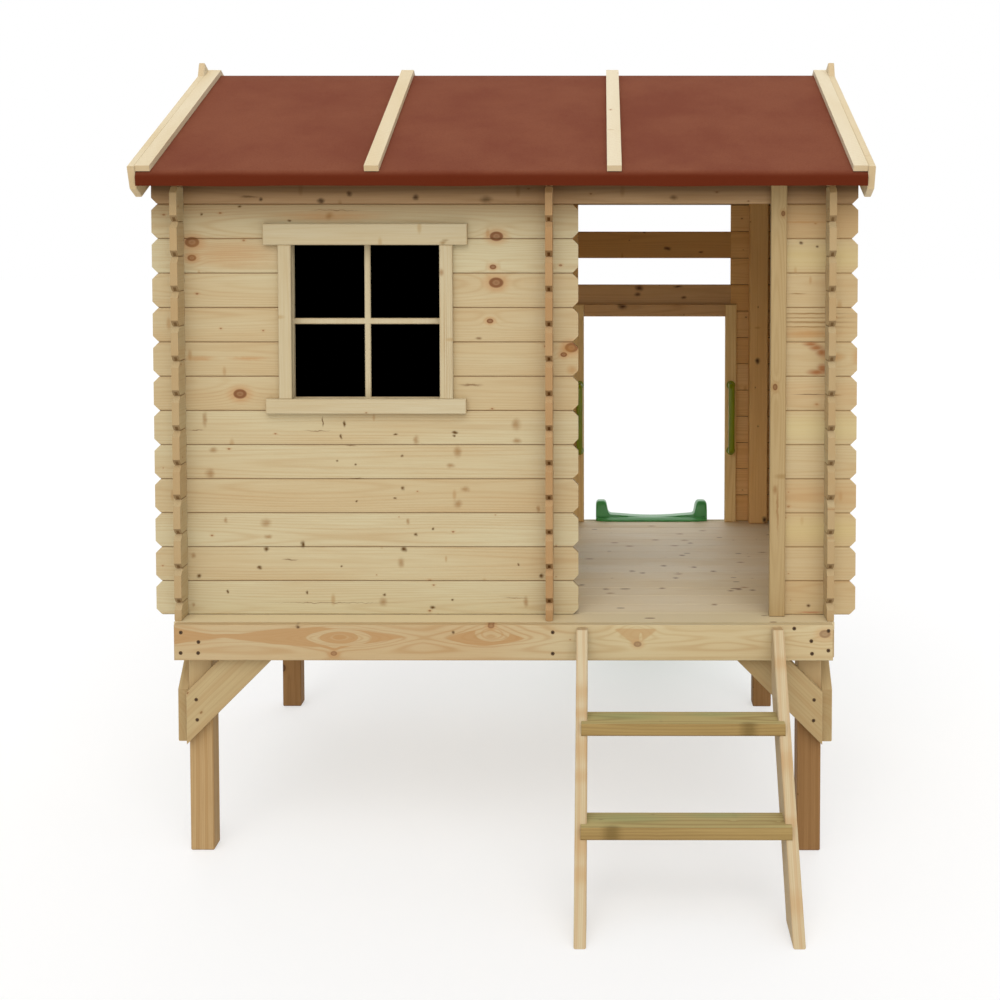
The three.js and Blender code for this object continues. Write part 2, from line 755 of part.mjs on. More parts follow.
// Slide: the line of its bed from the lip to the run-out, as stations along Y
const bend = THREE.MathUtils.degToRad(slide.slope);
const slideHip = (jambRightEdge - jambLeftEdge) / 2 - slide.doorGap;

function slideStations() {
  const skirt = slide.bedHeight - fit;
  const flatEnd = rearFascia.to + slide.topFlat;
  const exit = slide.exitHeight - platform.height;
  const stations = [
    { y: house.depth - slide.lipReach + slide.lipRun, bed: slide.bedHeight, angle: 0, skirt },
    { y: flatEnd, bed: slide.bedHeight, angle: 0, skirt },
  ];
  for (let step = 1; step <= arcStations; step += 1) {
    const angle = bend * step / arcStations;
    const bed = slide.bedHeight - slide.topRadius * (1 - Math.cos(angle));
    stations.push({ y: flatEnd + slide.topRadius * Math.sin(angle), bed, angle, skirt });
  }
  const chuteTop = stations[stations.length - 1];
  const chuteBottom = exit + slide.footRadius * (1 - Math.cos(bend));
  const footStart = chuteTop.y + (chuteTop.bed - chuteBottom) / Math.tan(bend);
  for (let step = 0; step <= arcStations; step += 1) {
    const share = step / arcStations;
    const angle = bend * (1 - share);
    const bed = exit + slide.footRadius * (1 - Math.cos(angle));
    const y = footStart + slide.footRadius * (Math.sin(bend) - Math.sin(angle));
    const toFloor = bed + platform.height;
    stations.push({ y, bed, angle, skirt: skirt + (toFloor - skirt) * share * share });
  }
  const last = stations[stations.length - 1];
  stations.push({ ...last, y: last.y + slide.runOut });
  return stations;
}

// Half of the section at a station, from the foot of the outer side in to the centre
function slideHalves({ bed, angle, skirt }) {
  const lift = 1 / Math.cos(angle);
  const hip = slideHip;
  const round = slide.railRound;
  const trim = round * roundShare;
  const top = slide.bedRise + slide.railHeight;
  const inside = hip - slide.railWidth + slide.railDraft;
  const edge = hip - slide.railWidth;
  const point = (x, height) => [x, bed + height * lift];
  const upper = [
    [-hip, bed - skirt], point(-hip, top - round), point(-hip + trim, top - trim),
    point(-hip + round, top), point(-inside - round, top), point(-inside - trim, top - trim),
    point(-inside, top - round),
    ...bedShares.map((share) => point(
      -edge * (1 - share), slide.bedRise * (1 - share) * (1 - share))),
  ];
  const wall = slide.wall;
  const lower = [
    [-hip + wall, bed - skirt], point(-hip + wall, top - round),
    point(-hip + round, top - wall), point(-inside - round, top - wall),
    point(-inside - wall, top - round),
    ...bedShares.map((share) => point(
      -(edge + (share === 0 ? wall : 0)) * (1 - share),
      slide.bedRise * (1 - share) * (1 - share) - wall)),
  ];
  return { upper, lower };
}

// The lip on the deck: a ramp up to the bed, bowed in plan with its corners cut back
function slideLip() {
  const front = house.depth - slide.lipReach;
  const back = front + slide.lipRun + slide.wall;
  const hip = slideHip;
  const ramp = alongX([
    [front, fit], [back, fit], [back, slide.bedHeight], [back - slide.wall, slide.bedHeight],
    [front, slide.lipEdge],
  ], -hip, hip);
  const shoulder = hip - slide.lipCorner;
  const outside = front - overrun;
  const corner = (side) => alongZ([
    [side * (hip + overrun), front + slide.lipCorner], [side * hip, front + slide.lipCorner],
    [side * shoulder, front + slide.lipBow], [side * shoulder / 2, front],
    [side * shoulder / 2, outside], [side * (hip + overrun), outside],
  ], -overrun, overrun);
  return cutAll(ramp, [corner(-1), corner(1)]);
}

function mirrored(half) {
  return [...half, ...half.slice(0, -1).reverse().map(([x, z]) => [-x, z])];
}

// Rings of points joined into one closed skin, with a cap at each end
function loft(rings) {
  const size = rings[0].ring.length;
  const positions = rings.flatMap(({ y, ring }) => ring.flatMap(([x, z]) => [x, y, z]));
  const faces = [];
  for (let row = 0; row + 1 < rings.length; row += 1) {
    for (let column = 0; column < size; column += 1) {
      const a = row * size + column;
      const b = row * size + (column + 1) % size;
      faces.push(a, b + size, b, a, a + size, b + size);
    }
  }
  const cap = (row) => THREE.ShapeUtils.triangulateShape(
    rings[row].ring.map(([x, z]) => new THREE.Vector2(x, z)), [])
    .map((face) => face.map((index) => index + row * size));
  cap(0).forEach(([a, b, c]) => faces.push(a, b, c));
  cap(rings.length - 1).forEach(([a, b, c]) => faces.push(a, c, b));
  const geometry = new THREE.BufferGeometry();
  geometry.setAttribute('position', new THREE.Float32BufferAttribute(positions, 3));
  geometry.setIndex(faces);
  return geometry;
}

function buildSlide(parent) {
  const stations = slideStations();
  const sections = stations.map((station) => ({ y: station.y, ...slideHalves(station) }));
  const shell = toSolid(loft(sections.map(({ y, upper, lower }) => ({
    y,
    ring: [...mirrored(lower), ...mirrored(upper).reverse()],
  }))));
  const first = sections[0];
  const last = sections[sections.length - 1];
  const endWall = alongY(mirrored(last.upper), last.y - slide.wall, last.y);
  const railLength = first.upper.length - bedShares.length + 1;
  const rail = first.upper.slice(0, railLength);
  const railFoot = [rail[railLength - 1][0], first.upper[0][1]];
  const lipWall = (side) => alongY(
    [...rail, railFoot].map(([x, z]) => [side * x, z]), first.y, first.y + slide.wall);
  const body = shell.add(endWall).add(lipWall(1)).add(lipWall(-1)).add(slideLip());
  place(parent, 'slide', body, slidePlastic);
}

// The whole, with the middle of its footprint over the origin
const model = new THREE.Group();
const houseGroup = new THREE.Group();
const slideGroup = new THREE.Group();
houseGroup.position.z = platform.height;
slideGroup.position.x = (doorLeft + doorRight) / 2 - slide.offCentre;
houseGroup.add(slideGroup);
model.add(houseGroup);
buildLegs(model);
buildBraces(model);
buildFrame(model);
buildLadder(model);
buildFrontWall(houseGroup);
buildRearWall(houseGroup);
buildCrossWalls(houseGroup);
buildWindow(houseGroup);
buildDoorTrim(houseGroup);
buildGrips(houseGroup);
buildRoof(houseGroup);
buildSlide(slideGroup);

const footprint = new THREE.Box3().setFromObject(model);
model.position.y = -(footprint.min.y + footprint.max.y) / 2;

export default model;
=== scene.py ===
"""The look of the log playhouse with slide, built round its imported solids. Metres, +Z up."""

import math
from collections import namedtuple

import bpy
import bmesh
from mathutils import Matrix, Vector


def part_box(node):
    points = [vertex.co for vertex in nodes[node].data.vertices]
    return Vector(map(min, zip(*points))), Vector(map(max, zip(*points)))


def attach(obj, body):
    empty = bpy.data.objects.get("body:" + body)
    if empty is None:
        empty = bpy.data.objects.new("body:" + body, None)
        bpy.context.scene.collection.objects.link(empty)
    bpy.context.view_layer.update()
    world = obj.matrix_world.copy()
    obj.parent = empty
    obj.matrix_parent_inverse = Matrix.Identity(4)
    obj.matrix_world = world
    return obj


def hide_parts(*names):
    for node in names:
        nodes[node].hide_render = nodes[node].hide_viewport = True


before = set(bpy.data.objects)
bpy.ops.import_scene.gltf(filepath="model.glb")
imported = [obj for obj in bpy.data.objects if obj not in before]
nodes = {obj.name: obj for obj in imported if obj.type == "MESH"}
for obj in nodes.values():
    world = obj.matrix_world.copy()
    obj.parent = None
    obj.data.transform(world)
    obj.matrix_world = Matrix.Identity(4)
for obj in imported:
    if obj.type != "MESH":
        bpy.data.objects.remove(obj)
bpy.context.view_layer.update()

X, Y, Z = (1, 0, 0), (0, 1, 0), (0, 0, 1)

# Places that many pieces share: the front wall's outer face, the deck's top, and the rear wall's
# face to the porch
WALL_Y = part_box("front_wall_left")[0][1]
DECK_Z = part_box("deck")[1][2]
REAR_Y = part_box("rear_wall_left")[0][1]

# A wall board's height, the roof's pitch, and the unit of placed knots and stains
LOG = 0.088
PITCH = math.radians(22.4)
MM = 0.001

# Colours: pale and warm early wood, the late wood's lines, a knot, and the wood round a knot
Tones = namedtuple("Tones", "pale warm late knot halo")
SPRUCE = Tones("c6ba96", "bea67d", "a98557", "6f3f22", "b58352")
PLANED = Tones("c4b797", "bba780", "ae9062", "74492a", "b48d60")
BRACING = Tones("b9a47a", "ae956b", "96794d", "694223", "a27c4f")
JAMB = Tones("b1996f", "a78c60", "8f7144", "6e4526", "9c774a")
BATTEN = Tones("ded2b6", "d3c09a", "bfa072", "80522f", "c49c6c")
# SHADED: a darker copy of the spruce, painted shade for pieces that lie in shadow
SHADED = Tones("c4a67c", "b49066", "9c7346", "6c3d20", "a8794c")
# INSIDE_PAINTED_LIGHT: a paler copy of the spruce, painted light for faces in the dim porch and
# under the roof
INSIDE_PAINTED_LIGHT = Tones("dcc9a0", "d2bb8e", "b99a68", "6f3f22", "b58352")
# DOORWAY_PAINTED_LIGHT: a brighter copy, painted light for the rear jambs' faces in the doorway
DOORWAY_PAINTED_LIGHT = Tones("f6d69c", "ecc586", "ca975c", "3c1b0b", "bd8650")
LADDER = Tones("ccbfa0", "c1ac86", "ac8a5c", "6f3f22", "b58352")
# INNER_PAINTED_LIGHT, TRANSOM_PAINTED_LIGHT and OVERHEAD_PAINTED_LIGHT: brighter, warmer copies,
# painted light for faces in the dim porch
INNER_PAINTED_LIGHT = Tones("f2c88c", "e9b672", "c88f52", "3c1b0b", "bd8650")
TRANSOM_PAINTED_LIGHT = Tones("dbac70", "ce9a5c", "ae783e", "3c1b0b", "a87038")
OVERHEAD_PAINTED_LIGHT = Tones("e1bb8d", "d4a775", "b38350", "3c1b0b", "a87038")
# EAVE_PAINTED_SHADE: a darker copy, painted shade for the log under the eave
EAVE_PAINTED_SHADE = Tones("b0906a", "a07e58", "85643d", "5c3820", "8d683e")
# TAN_PAINTED_SHADE and BROWN_PAINTED_SHADE: darker, warmer copies for the legs, their darkness
# painted shade under the platform
TAN_PAINTED_SHADE = Tones("b5976b", "a58459", "8d683e", "643b20", "98703f")
BROWN_PAINTED_SHADE = Tones("987349", "8b6740", "76522f", "50301a", "805a34")
# WEATHERED_PAINTED_LIGHT: pale weathered wood, made paler still as painted light for the deck in
# the dim porch
WEATHERED_PAINTED_LIGHT = Tones("f6ebd2", "e4d2ae", "cdb085", "6b4220", "c9a97c")
GREENISH = Tones("a98f5b", "997d4a", "7c6238", "523a1c", "8b6f40")


def linear(code):
    """A colour written as six hexadecimal digits, as linear red, green, blue and alpha."""
    values = [int(code[i:i + 2], 16) / 255 for i in (0, 2, 4)]
    parts = [v / 12.92 if v <= 0.04045 else ((v + 0.055) / 1.055) ** 2.4 for v in values]
    return (*parts, 1.0)


# Node graphs


class Graph:
    """The node tree of a material, or of a world, with short calls for the nodes used here."""

    def __init__(self, name, owners=bpy.data.materials):
        self.owner = owners.new(name)
        self.owner.use_nodes = True
        self.tree = self.owner.node_tree
        self.tree.nodes.clear()
        self.place = self.node("ShaderNodeTexCoord").outputs["Object"]
        self.normal = self.node("ShaderNodeNewGeometry").outputs["True Normal"]

    def node(self, kind, values=(), **settings):
        """A new node. Each value is linked to its input if it is a socket, and else set there."""
        made = self.tree.nodes.new(kind)
        for key, value in settings.items():
            setattr(made, key, value)
        for key, value in dict(values).items():
            if isinstance(value, bpy.types.NodeSocket):
                self.tree.links.new(value, made.inputs[key])
            elif value is not None:
                made.inputs[key].default_value = value
        return made

    def math(self, operation, *values):
        return self.node("ShaderNodeMath", enumerate(values), operation=operation).outputs[0]

    def add(self, a, b):
        return self.math("ADD", a, b)

    def sub(self, a, b):
        return self.math("SUBTRACT", a, b)

    def mul(self, a, b):
        return self.math("MULTIPLY", a, b)

    def div(self, a, b):
        return self.math("DIVIDE", a, b)

    def size(self, a):
        return self.math("ABSOLUTE", a)

    def scaled(self, value, factor, shift):
        """value * factor + shift"""
        return self.math("MULTIPLY_ADD", value, factor, shift)

    def hypot(self, a, b):
        return self.math("SQRT", self.add(self.mul(a, a), self.mul(b, b)))

    def on_vectors(self, operation, *values):
        return self.node("ShaderNodeVectorMath", enumerate(values), operation=operation).outputs

    def dot(self, a, b):
        return self.on_vectors("DOT_PRODUCT", a, b)["Value"]

    def vector(self, x, y, z=0.0):
        return self.node("ShaderNodeCombineXYZ", enumerate((x, y, z))).outputs[0]

    def split(self, colour):
        return tuple(self.node("ShaderNodeSeparateColor", {0: colour}).outputs)

    def random(self, value):
        """Three random numbers for a number."""
        made = self.node("ShaderNodeTexWhiteNoise", {"W": value}, noise_dimensions="1D")
        return self.split(made.outputs["Color"])

    def noise(self, vector, scale=1.0, detail=2.0, roughness=0.5):
        return self.node("ShaderNodeTexNoise", {
            "Vector": vector, "Scale": scale, "Detail": detail, "Roughness": roughness}).outputs[0]

    def cells(self, vector):
        """Points strewn one to a cell: the distance to the nearest, and its random numbers."""
        made = self.node("ShaderNodeTexVoronoi", {"Vector": vector, "Scale": 1.0},
                         voronoi_dimensions="2D")
        return made.outputs["Distance"], self.split(made.outputs["Color"])

    def ramp(self, value, low, high, to_low=0.0, to_high=1.0):
        """A smooth step from to_low at low to to_high at high."""
        return self.node("ShaderNodeMapRange", enumerate((value, low, high, to_low, to_high)),
                         interpolation_type="SMOOTHSTEP").outputs[0]

    def mix(self, factor, a, b):
        """Colour a where the factor is zero, colour b where it is one."""
        # 6 and 7 are the inputs, and 2 the output, that the node has for colours
        return self.node("ShaderNodeMix", {0: factor, 6: a, 7: b}, data_type="RGBA").outputs[2]

    def bump(self, height, strength, distance):
        return self.node("ShaderNodeBump", {
            "Strength": strength, "Distance": distance, "Height": height}).outputs[0]

    def surface(self, colour, roughness, normal=None, gloss=0.5):
        shader = self.node("ShaderNodeBsdfPrincipled", {
            "Base Color": colour, "Roughness": roughness, "Normal": normal,
            "Specular IOR Level": gloss})
        self.node("ShaderNodeOutputMaterial", {0: shader.outputs[0]})
        return self.owner


# Wood: rings round a pith behind each board's face, bent by knots

FAR = 60.0  # in radii of a knot: out of its reach
KNOT_LENGTH = 1.4  # of a placed knot, along the grain, for one across it


class Timber(Graph):
    """The graph of a wood, with a place's own numbers there: u along the grain, v across it and
    w through the board, in metres, then which board it is on, and where across that board."""

    def __init__(self, name, along, across, middle, pitch, offset, seed):
        super().__init__(name)
        self.along, across = Vector(along).normalized(), Vector(across).normalized()
        through, middle = self.along.cross(across), Vector(middle)
        self.u, self.v = self.dot(self.place, self.along), self.dot(self.place, across)
        self.w = self.sub(self.dot(self.place, through), through.dot(middle))
        self.seed, self.pitch = seed, pitch
        if pitch:
            steps = self.div(self.sub(self.v, offset), pitch)
            self.board = self.math("FLOOR", steps)
            self.inside = self.mul(self.sub(self.math("FRACT", steps), 0.5), pitch)
        else:
            self.board, self.inside = 0.0, self.sub(self.v, across.dot(middle))
        self.chances = self.random(self.scaled(self.board, 1.37, seed))
        # Each board shows another stretch of the patterns that u and v run through
        self.drift = self.scaled(self.chances[0], 9.0, self.u)
        self.lane = self.scaled(self.board, 0.213, self.v)


def strewn(g, per_u, per_v, least, spread, share):
    """Distance to the nearest of many small spots, in its radii. per_u and per_v spots come
    to a metre either way, least and spread are their radii in such cells, and only a share
    of the spots is kept."""
    distance, (chance, size, _) = g.cells(g.vector(g.mul(g.drift, per_u), g.mul(g.lane, per_v)))
    away = g.div(distance, g.scaled(size, spread, least))
    return g.add(away, g.mul(g.math("GREATER_THAN", chance, share), FAR))


def rings(g, spacing, knot, pin):
    """How many growth rings lie between a place and the pith. The pith wanders behind the
    board, and a knot pushes the rings away."""
    sway = g.noise(g.vector(g.mul(g.drift, 1.3), g.mul(g.inside, 9.0), g.mul(g.board, 3.3)))
    rise = g.noise(g.vector(g.mul(g.drift, 0.8), g.mul(g.board, 7.7), g.seed), 1.0, 1.0)
    side = g.add(g.inside, g.scaled(sway, 0.014, -0.007))
    side = g.sub(side, g.scaled(g.chances[1], 0.06, -0.03))
    deep = g.add(g.scaled(g.chances[2], 0.03, 0.018), g.scaled(rise, 0.06, -0.03))
    ring = g.hypot(side, g.add(deep, g.w))
    near_knot, near_pin = (g.div(1.0, g.scaled(g.mul(away, away), 0.35, 1.0))
                           for away in (knot, pin))
    push = g.mul(g.add(near_knot, g.mul(near_pin, 0.25)), 0.012)
    return g.div(g.add(ring, push), spacing)


def drawn(g, phase, v, figure):
    """The rings' phase with a drawn figure in it: a ridge along the board, and hills."""
    dv = g.div(g.sub(v, figure["ridge"] * MM), figure["half"] * MM)
    ridge = g.math("EXPONENT", g.mul(g.mul(dv, dv), -1.0))
    level = g.mul(ridge, figure["height"])
    for hill_u, hill_v, half_u, half_v, amount in figure["hills"]:
        du = g.size(g.div(g.sub(g.u, hill_u * MM), half_u * MM))
        dv = g.div(g.sub(v, hill_v * MM), half_v * MM)
        away = g.add(g.math("POWER", du, 1.5), g.mul(dv, dv))
        level = g.scaled(g.math("EXPONENT", g.mul(away, -1.0)), amount, level)
    return g.scaled(level, 2.5, g.mul(phase, 0.4))


def blot(g, v, centre_u, centre_v, half_u, half_v, power):
    """One inside an oval, or inside a lozenge for lower powers, and zero outside."""
    away = [g.math("POWER", g.size(g.div(g.sub(place, centre * MM), half * MM)), power)
            for place, centre, half in ((g.u, centre_u, half_u), (v, centre_v, half_v))]
    return g.ramp(g.add(*away), 1.08, 0.92)


def stains(g, point, ovals):
    """One in the middle of any of some ovals, each given by its centre and half widths."""
    best = None
    for oval in ovals:
        centre_u, centre_v, half_u, half_v = (number * MM for number in oval)
        moved = g.on_vectors("MULTIPLY_ADD", point, (1 / half_u, 1 / half_v, 0.0),
                             (-centre_u / half_u, -centre_v / half_v, 0.0))[0]
        away = g.on_vectors("LENGTH", moved)["Value"]
        best = away if best is None else g.math("MINIMUM", best, away)
    return g.ramp(best, 1.5, 0.1)


def notched(g, colour):
    """A small dark gap under each board at the corners, and painted shade on the undersides of its
    chamfered ends."""
    skew = g.ramp(g.size(g.dot(g.normal, g.along)), 0.4, 0.5)
    # Painted shade: chamfered ends that face down are darkened
    under = g.mul(skew, g.ramp(g.dot(g.normal, Z), -0.4, -0.5))
    colour = g.mix(g.mul(under, 0.62), colour, linear("6b4d2a"))
    above = g.add(g.inside, g.pitch / 2)
    gap = g.mul(g.ramp(above, 0.0115, 0.0100), g.ramp(above, 0.0010, 0.0020))
    gap = g.mul(g.ramp(g.size(g.w), 0.0042, 0.0030), gap)
    return g.mix(g.mul(gap, skew), colour, linear("553410"))


def marked(g, colour, marks, fibre, shake):
    """Stains with ragged edges, worn through by the fibre."""
    ragged = g.noise(g.vector(g.mul(g.u, 60.0), g.mul(g.v, 60.0)))
    point = g.vector(g.scaled(ragged, 0.010 * shake, g.sub(g.u, 0.005 * shake)),
                     g.scaled(ragged, -0.008 * shake, g.add(g.v, 0.004 * shake)))
    for mark, amount, ovals in marks:
        stain = g.mul(stains(g, point, ovals), g.ramp(fibre, 0.25, 0.55, 0.7, 1.0))
        colour = g.mix(g.mul(stain, amount), colour, linear(mark))
    return colour


def wood(name, along, across, middle, pitch=None, offset=0.0, seed=0.0, tones=SPRUCE, zones=(),
         grain=0.45, spacing=0.0045, flame=0.0, figure=None, big=0.25, small=0.7, spikes=0.3,
         knots=(), slot=False, wear=0.0, tops=None, tints=(), marks=(), shake=1.0, dashes=0.0,
         gloss=0.1):
    """Sawn softwood. along and across are the directions of the grain and of a board's width, and
    middle is a point inside the piece. With a pitch it shows boards of that width from offset on,
    each with rings, tint and knots of its own.

    tones, zones: its colours, and others inside limits, (tones, [(axis, low, high), ...])
    grain, spacing, flame: the strength of the rings' lines, their distance, and broad bands
    figure: a drawn figure, with its ridge, hills and patches in millimetres
    big, small, spikes, dashes: shares, from 0 to 1, of the strewn knots, pin knots, spike knots
        and resin streaks that are kept
    knots: placed knots, (u, v, radius) in millimetres
    slot, wear, tops: gaps at notches with painted shade beneath, greyed patches, and a paler
    colour for level faces, painted light
    tints: changes of colour along an axis, (axis, low, high, amount, colour)
    marks, shake: stains, (colour, amount, ovals) in millimetres, and how ragged they are
    gloss: the specular level"""
    g = Timber(name, along, across, middle, pitch, offset, seed)
    knot = strewn(g, 2.1, 2.9, 0.010, 0.024, big)
    pin = strewn(g, 7.0, 11.0, 0.010, 0.022, small)
    spike = strewn(g, 11.0, 4.2, 0.05, 0.06, spikes)
    for knot_u, knot_v, radius in knots:
        du = g.div(g.sub(g.u, knot_u * MM), radius * MM * KNOT_LENGTH)
        dv = g.div(g.sub(g.v, knot_v * MM), radius * MM)
        knot = g.math("MINIMUM", knot, g.hypot(du, dv))
    phase = rings(g, spacing, knot, pin)
    if figure:
        bend = g.noise(g.vector(g.mul(g.u, 9.0), g.mul(g.v, 30.0)))
        bent_v = g.add(g.v, g.scaled(bend, 0.009, -0.0045))
        phase = drawn(g, phase, bent_v, figure)
    wave = g.scaled(g.math("SINE", g.mul(phase, math.tau)), 0.5, 0.5)
    line = g.math("POWER", wave, 3.0)
    patchy = g.noise(g.vector(g.mul(g.drift, 2.2), g.mul(g.lane, 14.0)))
    fibre = g.noise(g.vector(g.mul(g.drift, 9.0), g.mul(g.v, 420.0), g.mul(g.w, 420.0)),
                    1.0, 3.0, 0.6)

    areas = []
    for others, limits in zones:
        area = 1.0
        for axis, low, high in limits:
            area = g.mul(g.ramp(g.dot(g.place, axis), low, high), area)
        areas.append((area, others))

    def tone(key):
        shade = linear(getattr(tones, key))
        for area, others in areas:
            shade = g.mix(area, shade, linear(getattr(others, key)))
        return shade

    # Growth: early wood, late wood, figure and fibre
    late, halo = tone("late"), tone("halo")
    tint = g.add(g.scaled(g.chances[1], 0.5, 0.12), g.scaled(patchy, 0.9, -0.4))
    colour = g.mix(g.ramp(tint, 0.0, 1.0), tone("pale"), tone("warm"))
    colour = g.mix(g.mul(line, g.mul(g.scaled(patchy, 1.1, -0.05), grain)), colour, late)
    if flame:
        broad = g.math("SINE", g.mul(phase, math.tau / 4.0))
        colour = g.mix(g.ramp(broad, 0.0, 0.7, 0.0, flame), colour, halo)
    if figure:
        band = 0.0
        for *oval, amount in figure["patches"]:
            band = g.scaled(blot(g, bent_v, *oval), g.sub(amount, band), band)
        colour = g.mix(band, colour, linear("ac8150"))
    colour = g.mix(g.ramp(fibre, 0.35, 0.75, 0.0, 0.22), colour, late)

    # Knots: spikes, the halo and the knot with its darker rim and faint rings, and pins
    colour = g.mix(g.ramp(spike, 1.0, 0.2, 0.0, 0.6), colour, late)
    colour = g.mix(g.ramp(knot, 2.6, 0.9, 0.0, 0.5), colour, halo)
    rim = g.scaled(g.math("SINE", g.mul(knot, 13.0)), 0.06, g.ramp(knot, 0.3, 0.95, 0.66, 0.92))
    knot_tone = tone("knot")
    colour = g.mix(g.mul(g.ramp(knot, 1.15, 0.85), rim), colour, knot_tone)
    colour = g.mix(g.ramp(pin, 1.3, 0.7, 0.0, 0.75), colour, knot_tone)
    colour = g.mix(g.ramp(pin, 3.2, 1.0, 0.0, 0.25), colour, halo)

    # What was done to it, and painted light and shade: cut ends, notches, wear, level faces,
    # joints, tints and stains
    end = g.ramp(g.size(g.dot(g.normal, g.along)), 0.6, 0.8)
    colour = g.mix(g.mul(end, 0.55), colour, late)
    if slot:
        colour = notched(g, colour)
    if wear:
        grey = g.noise(g.vector(g.mul(g.u, 3.0), g.mul(g.v, 7.0)), 1.0, 4.0, 0.6)
        colour = g.mix(g.ramp(grey, 0.35, 0.7, 0.0, wear), colour, linear("f0e7d2"))
    if tops:
        # Painted light: level faces get a paler colour
        painted_light_level = g.ramp(g.dot(g.normal, Z), 0.7, 0.9, 0.0, 0.75)
        colour = g.mix(g.mul(painted_light_level, g.sub(1.0, g.mul(line, 0.6))), colour, linear(tops))
    if pitch:
        edge = g.ramp(g.size(g.inside), pitch / 2 - 0.0016, pitch / 2 - 0.0004, 0.0, 0.8)
        colour = g.mix(g.mul(edge, g.sub(1.0, end)), colour, linear("6b4a2a"))
    for axis, low, high, amount, shade in tints:
        colour = g.mix(g.ramp(g.dot(g.place, axis), low, high, 0.0, amount), colour,
                       linear(shade))
    if marks:
        colour = marked(g, colour, marks, fibre, shake)
    if dashes:
        dash = g.ramp(strewn(g, 6.5, 15.0, 0.05, 0.07, dashes), 1.0, 0.65)
        colour = g.mix(g.mul(dash, 0.7), colour, linear("6e4524"))

    height = g.add(g.mul(fibre, 0.5), g.mul(line, 0.35))
    height = g.sub(height, g.mul(g.ramp(knot, 1.2, 0.9), 0.4))
    return g.surface(colour, 0.6, g.bump(height, 0.35, 0.0006), gloss)


def dress(node, material):
    nodes[node].data.materials.clear()
    nodes[node].data.materials.append(material)


def board(node, along, across, **settings):
    low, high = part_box(node)
    dress(node, wood(node, along, across, (low + high) / 2, **settings))


# Walls. The side walls' boards lie half a course higher than the front's. Knots, stains and
# cracks have the places, along and across the grain, that the photo shows them at.
front = dict(pitch=LOG, offset=DECK_Z, slot=True)
cross = dict(pitch=LOG, offset=DECK_Z + LOG / 2, slot=True)
# Painted shade: the walls' upper boards darken towards the eave
eave_shade = [(Z, 1.585, 1.665, 0.5, "8f683b")]
smudges = [
    (-769, 1106, 6, 19), (-228, 1052, 8, 12), (28, 1093, 11, 15), (30, 1050, 10, 8),
    (-748, 1027, 11, 7), (-757, 967, 12, 12), (-122, 1022, 10, 14), (-140, 986, 10, 6),
    (-103, 926, 11, 7), (-122, 888, 11, 11), (85, 874, 5, 9), (-719, 846, 5, 7),
    (-615, 838, 13, 11), (-610, 803, 10, 6), (-250, 842, 4, 8), (-803, 754, 7, 7),
    (-269, 735, 9, 12), (-804, 626, 4, 6), (-315, 633, 10, 11), (52, 634, 6, 14),
    (-446, 1625, 11, 9)]
pins = [
    (-281, 1067, 6, 3), (-129, 1072, 7, 4), (-131, 1064, 4, 3), (-431, 999, 3, 3),
    (-385, 990, 3, 3), (-264, 1011, 4, 4), (-381, 894, 4, 3), (-284, 903, 4, 3), (-263, 928, 5, 5),
    (-521, 783, 6, 9), (-231, 809, 5, 4), (-186, 823, 4, 4), (-614, 770, 7, 6), (-789, 701, 6, 6),
    (-633, 723, 6, 5), (-421, 725, 3, 3), (-261, 770, 8, 6), (32, 731, 3, 3), (92, 701, 6, 6),
    (-511, 658, 3, 5), (-313, 653, 4, 4), (-136, 638, 4, 3), (-188, 619, 6, 5), (-715, 660, 3, 5),
    (-420, 1061, 3, 6), (-413, 1095, 3, 8), (-467, 1100, 2, 12), (-771, 1630, 4, 4),
    (-548, 1614, 5, 3), (-674, 1650, 5, 4)]
cracks = [
    (-791, 1078, 17, 1.3), (-480, 1076, 29, 1.2), (-381, 953, 17, 1.6), (-395, 1038, 13, 1.4),
    (24, 644, 28, 1.2), (-450, 631, 150, 1), (-554, 743, 18, 1.8), (-430, 1640, 60, 1.2),
    (-67, 1314, 8, 3), (-88, 1194, 26, 3)]
board("front_wall_left", X, Z, seed=3.1, big=0.0, small=0.45, **front, tints=eave_shade, knots=[
    (-796, 1559, 13), (-797, 1519, 8), (-678, 1171, 12), (-21, 1574, 12), (-22, 1456, 13),
    (-38, 1358, 6), (-30, 1496, 6), (170, 1290, 12), (150, 1272, 6)],
    marks=[("b3814c", 0.55, [(-780, 1262, 40, 7), (-655, 1262, 50, 5), (-700, 1530, 150, 40),
                             (-446, 1625, 140, 14)]),
           ("a8763c", 0.55, [(163, 1287, 20, 14), (172, 1232, 14, 12)]),
           ("8a5f2c", 0.62, smudges), ("553609", 1.0, pins), ("6b4a28", 0.8, cracks)])
board("front_wall_right", X, Z, seed=5.3, big=0.1, shake=0.35, **front,
      tints=eave_shade + [(X, 0.60, 0.70, 0.25, "c09862")], marks=[
    ("bc9160", 0.35, [(800, 1606, 300, 34), (800, 1172, 300, 36), (800, 908, 300, 36)]),
    ("cdbd86", 0.45, [(800, 1520, 300, 34), (800, 1084, 300, 36), (800, 820, 300, 36)]),
    ("b07f48", 0.65, [(775, 1325, 80, 11), (835, 1265, 30, 10), (770, 1610, 60, 3)]),
    ("84602f", 0.75, [(780, 1377, 110, 2.2), (775, 1366, 110, 1.8), (780, 1355, 110, 3),
                      (770, 1343, 100, 1.8), (745, 1428, 22, 1.6), (840, 1168, 18, 2.2)]),
    ("96582a", 0.85, [(781, 1299, 20, 6), (794, 1290, 18, 9), (808, 1278, 14, 11),
                      (810, 1236, 14, 14), (796, 1227, 24, 8)]),
    ("4a2c12", 0.95, [(754, 1557, 5, 4), (795, 1548, 4, 3), (779, 624, 5, 4),
                      (780, 1170, 40, 1.2)]),
    ("a04a26", 0.7, [(785, 607, 35, 2.2), (700, 612, 12, 3)])])
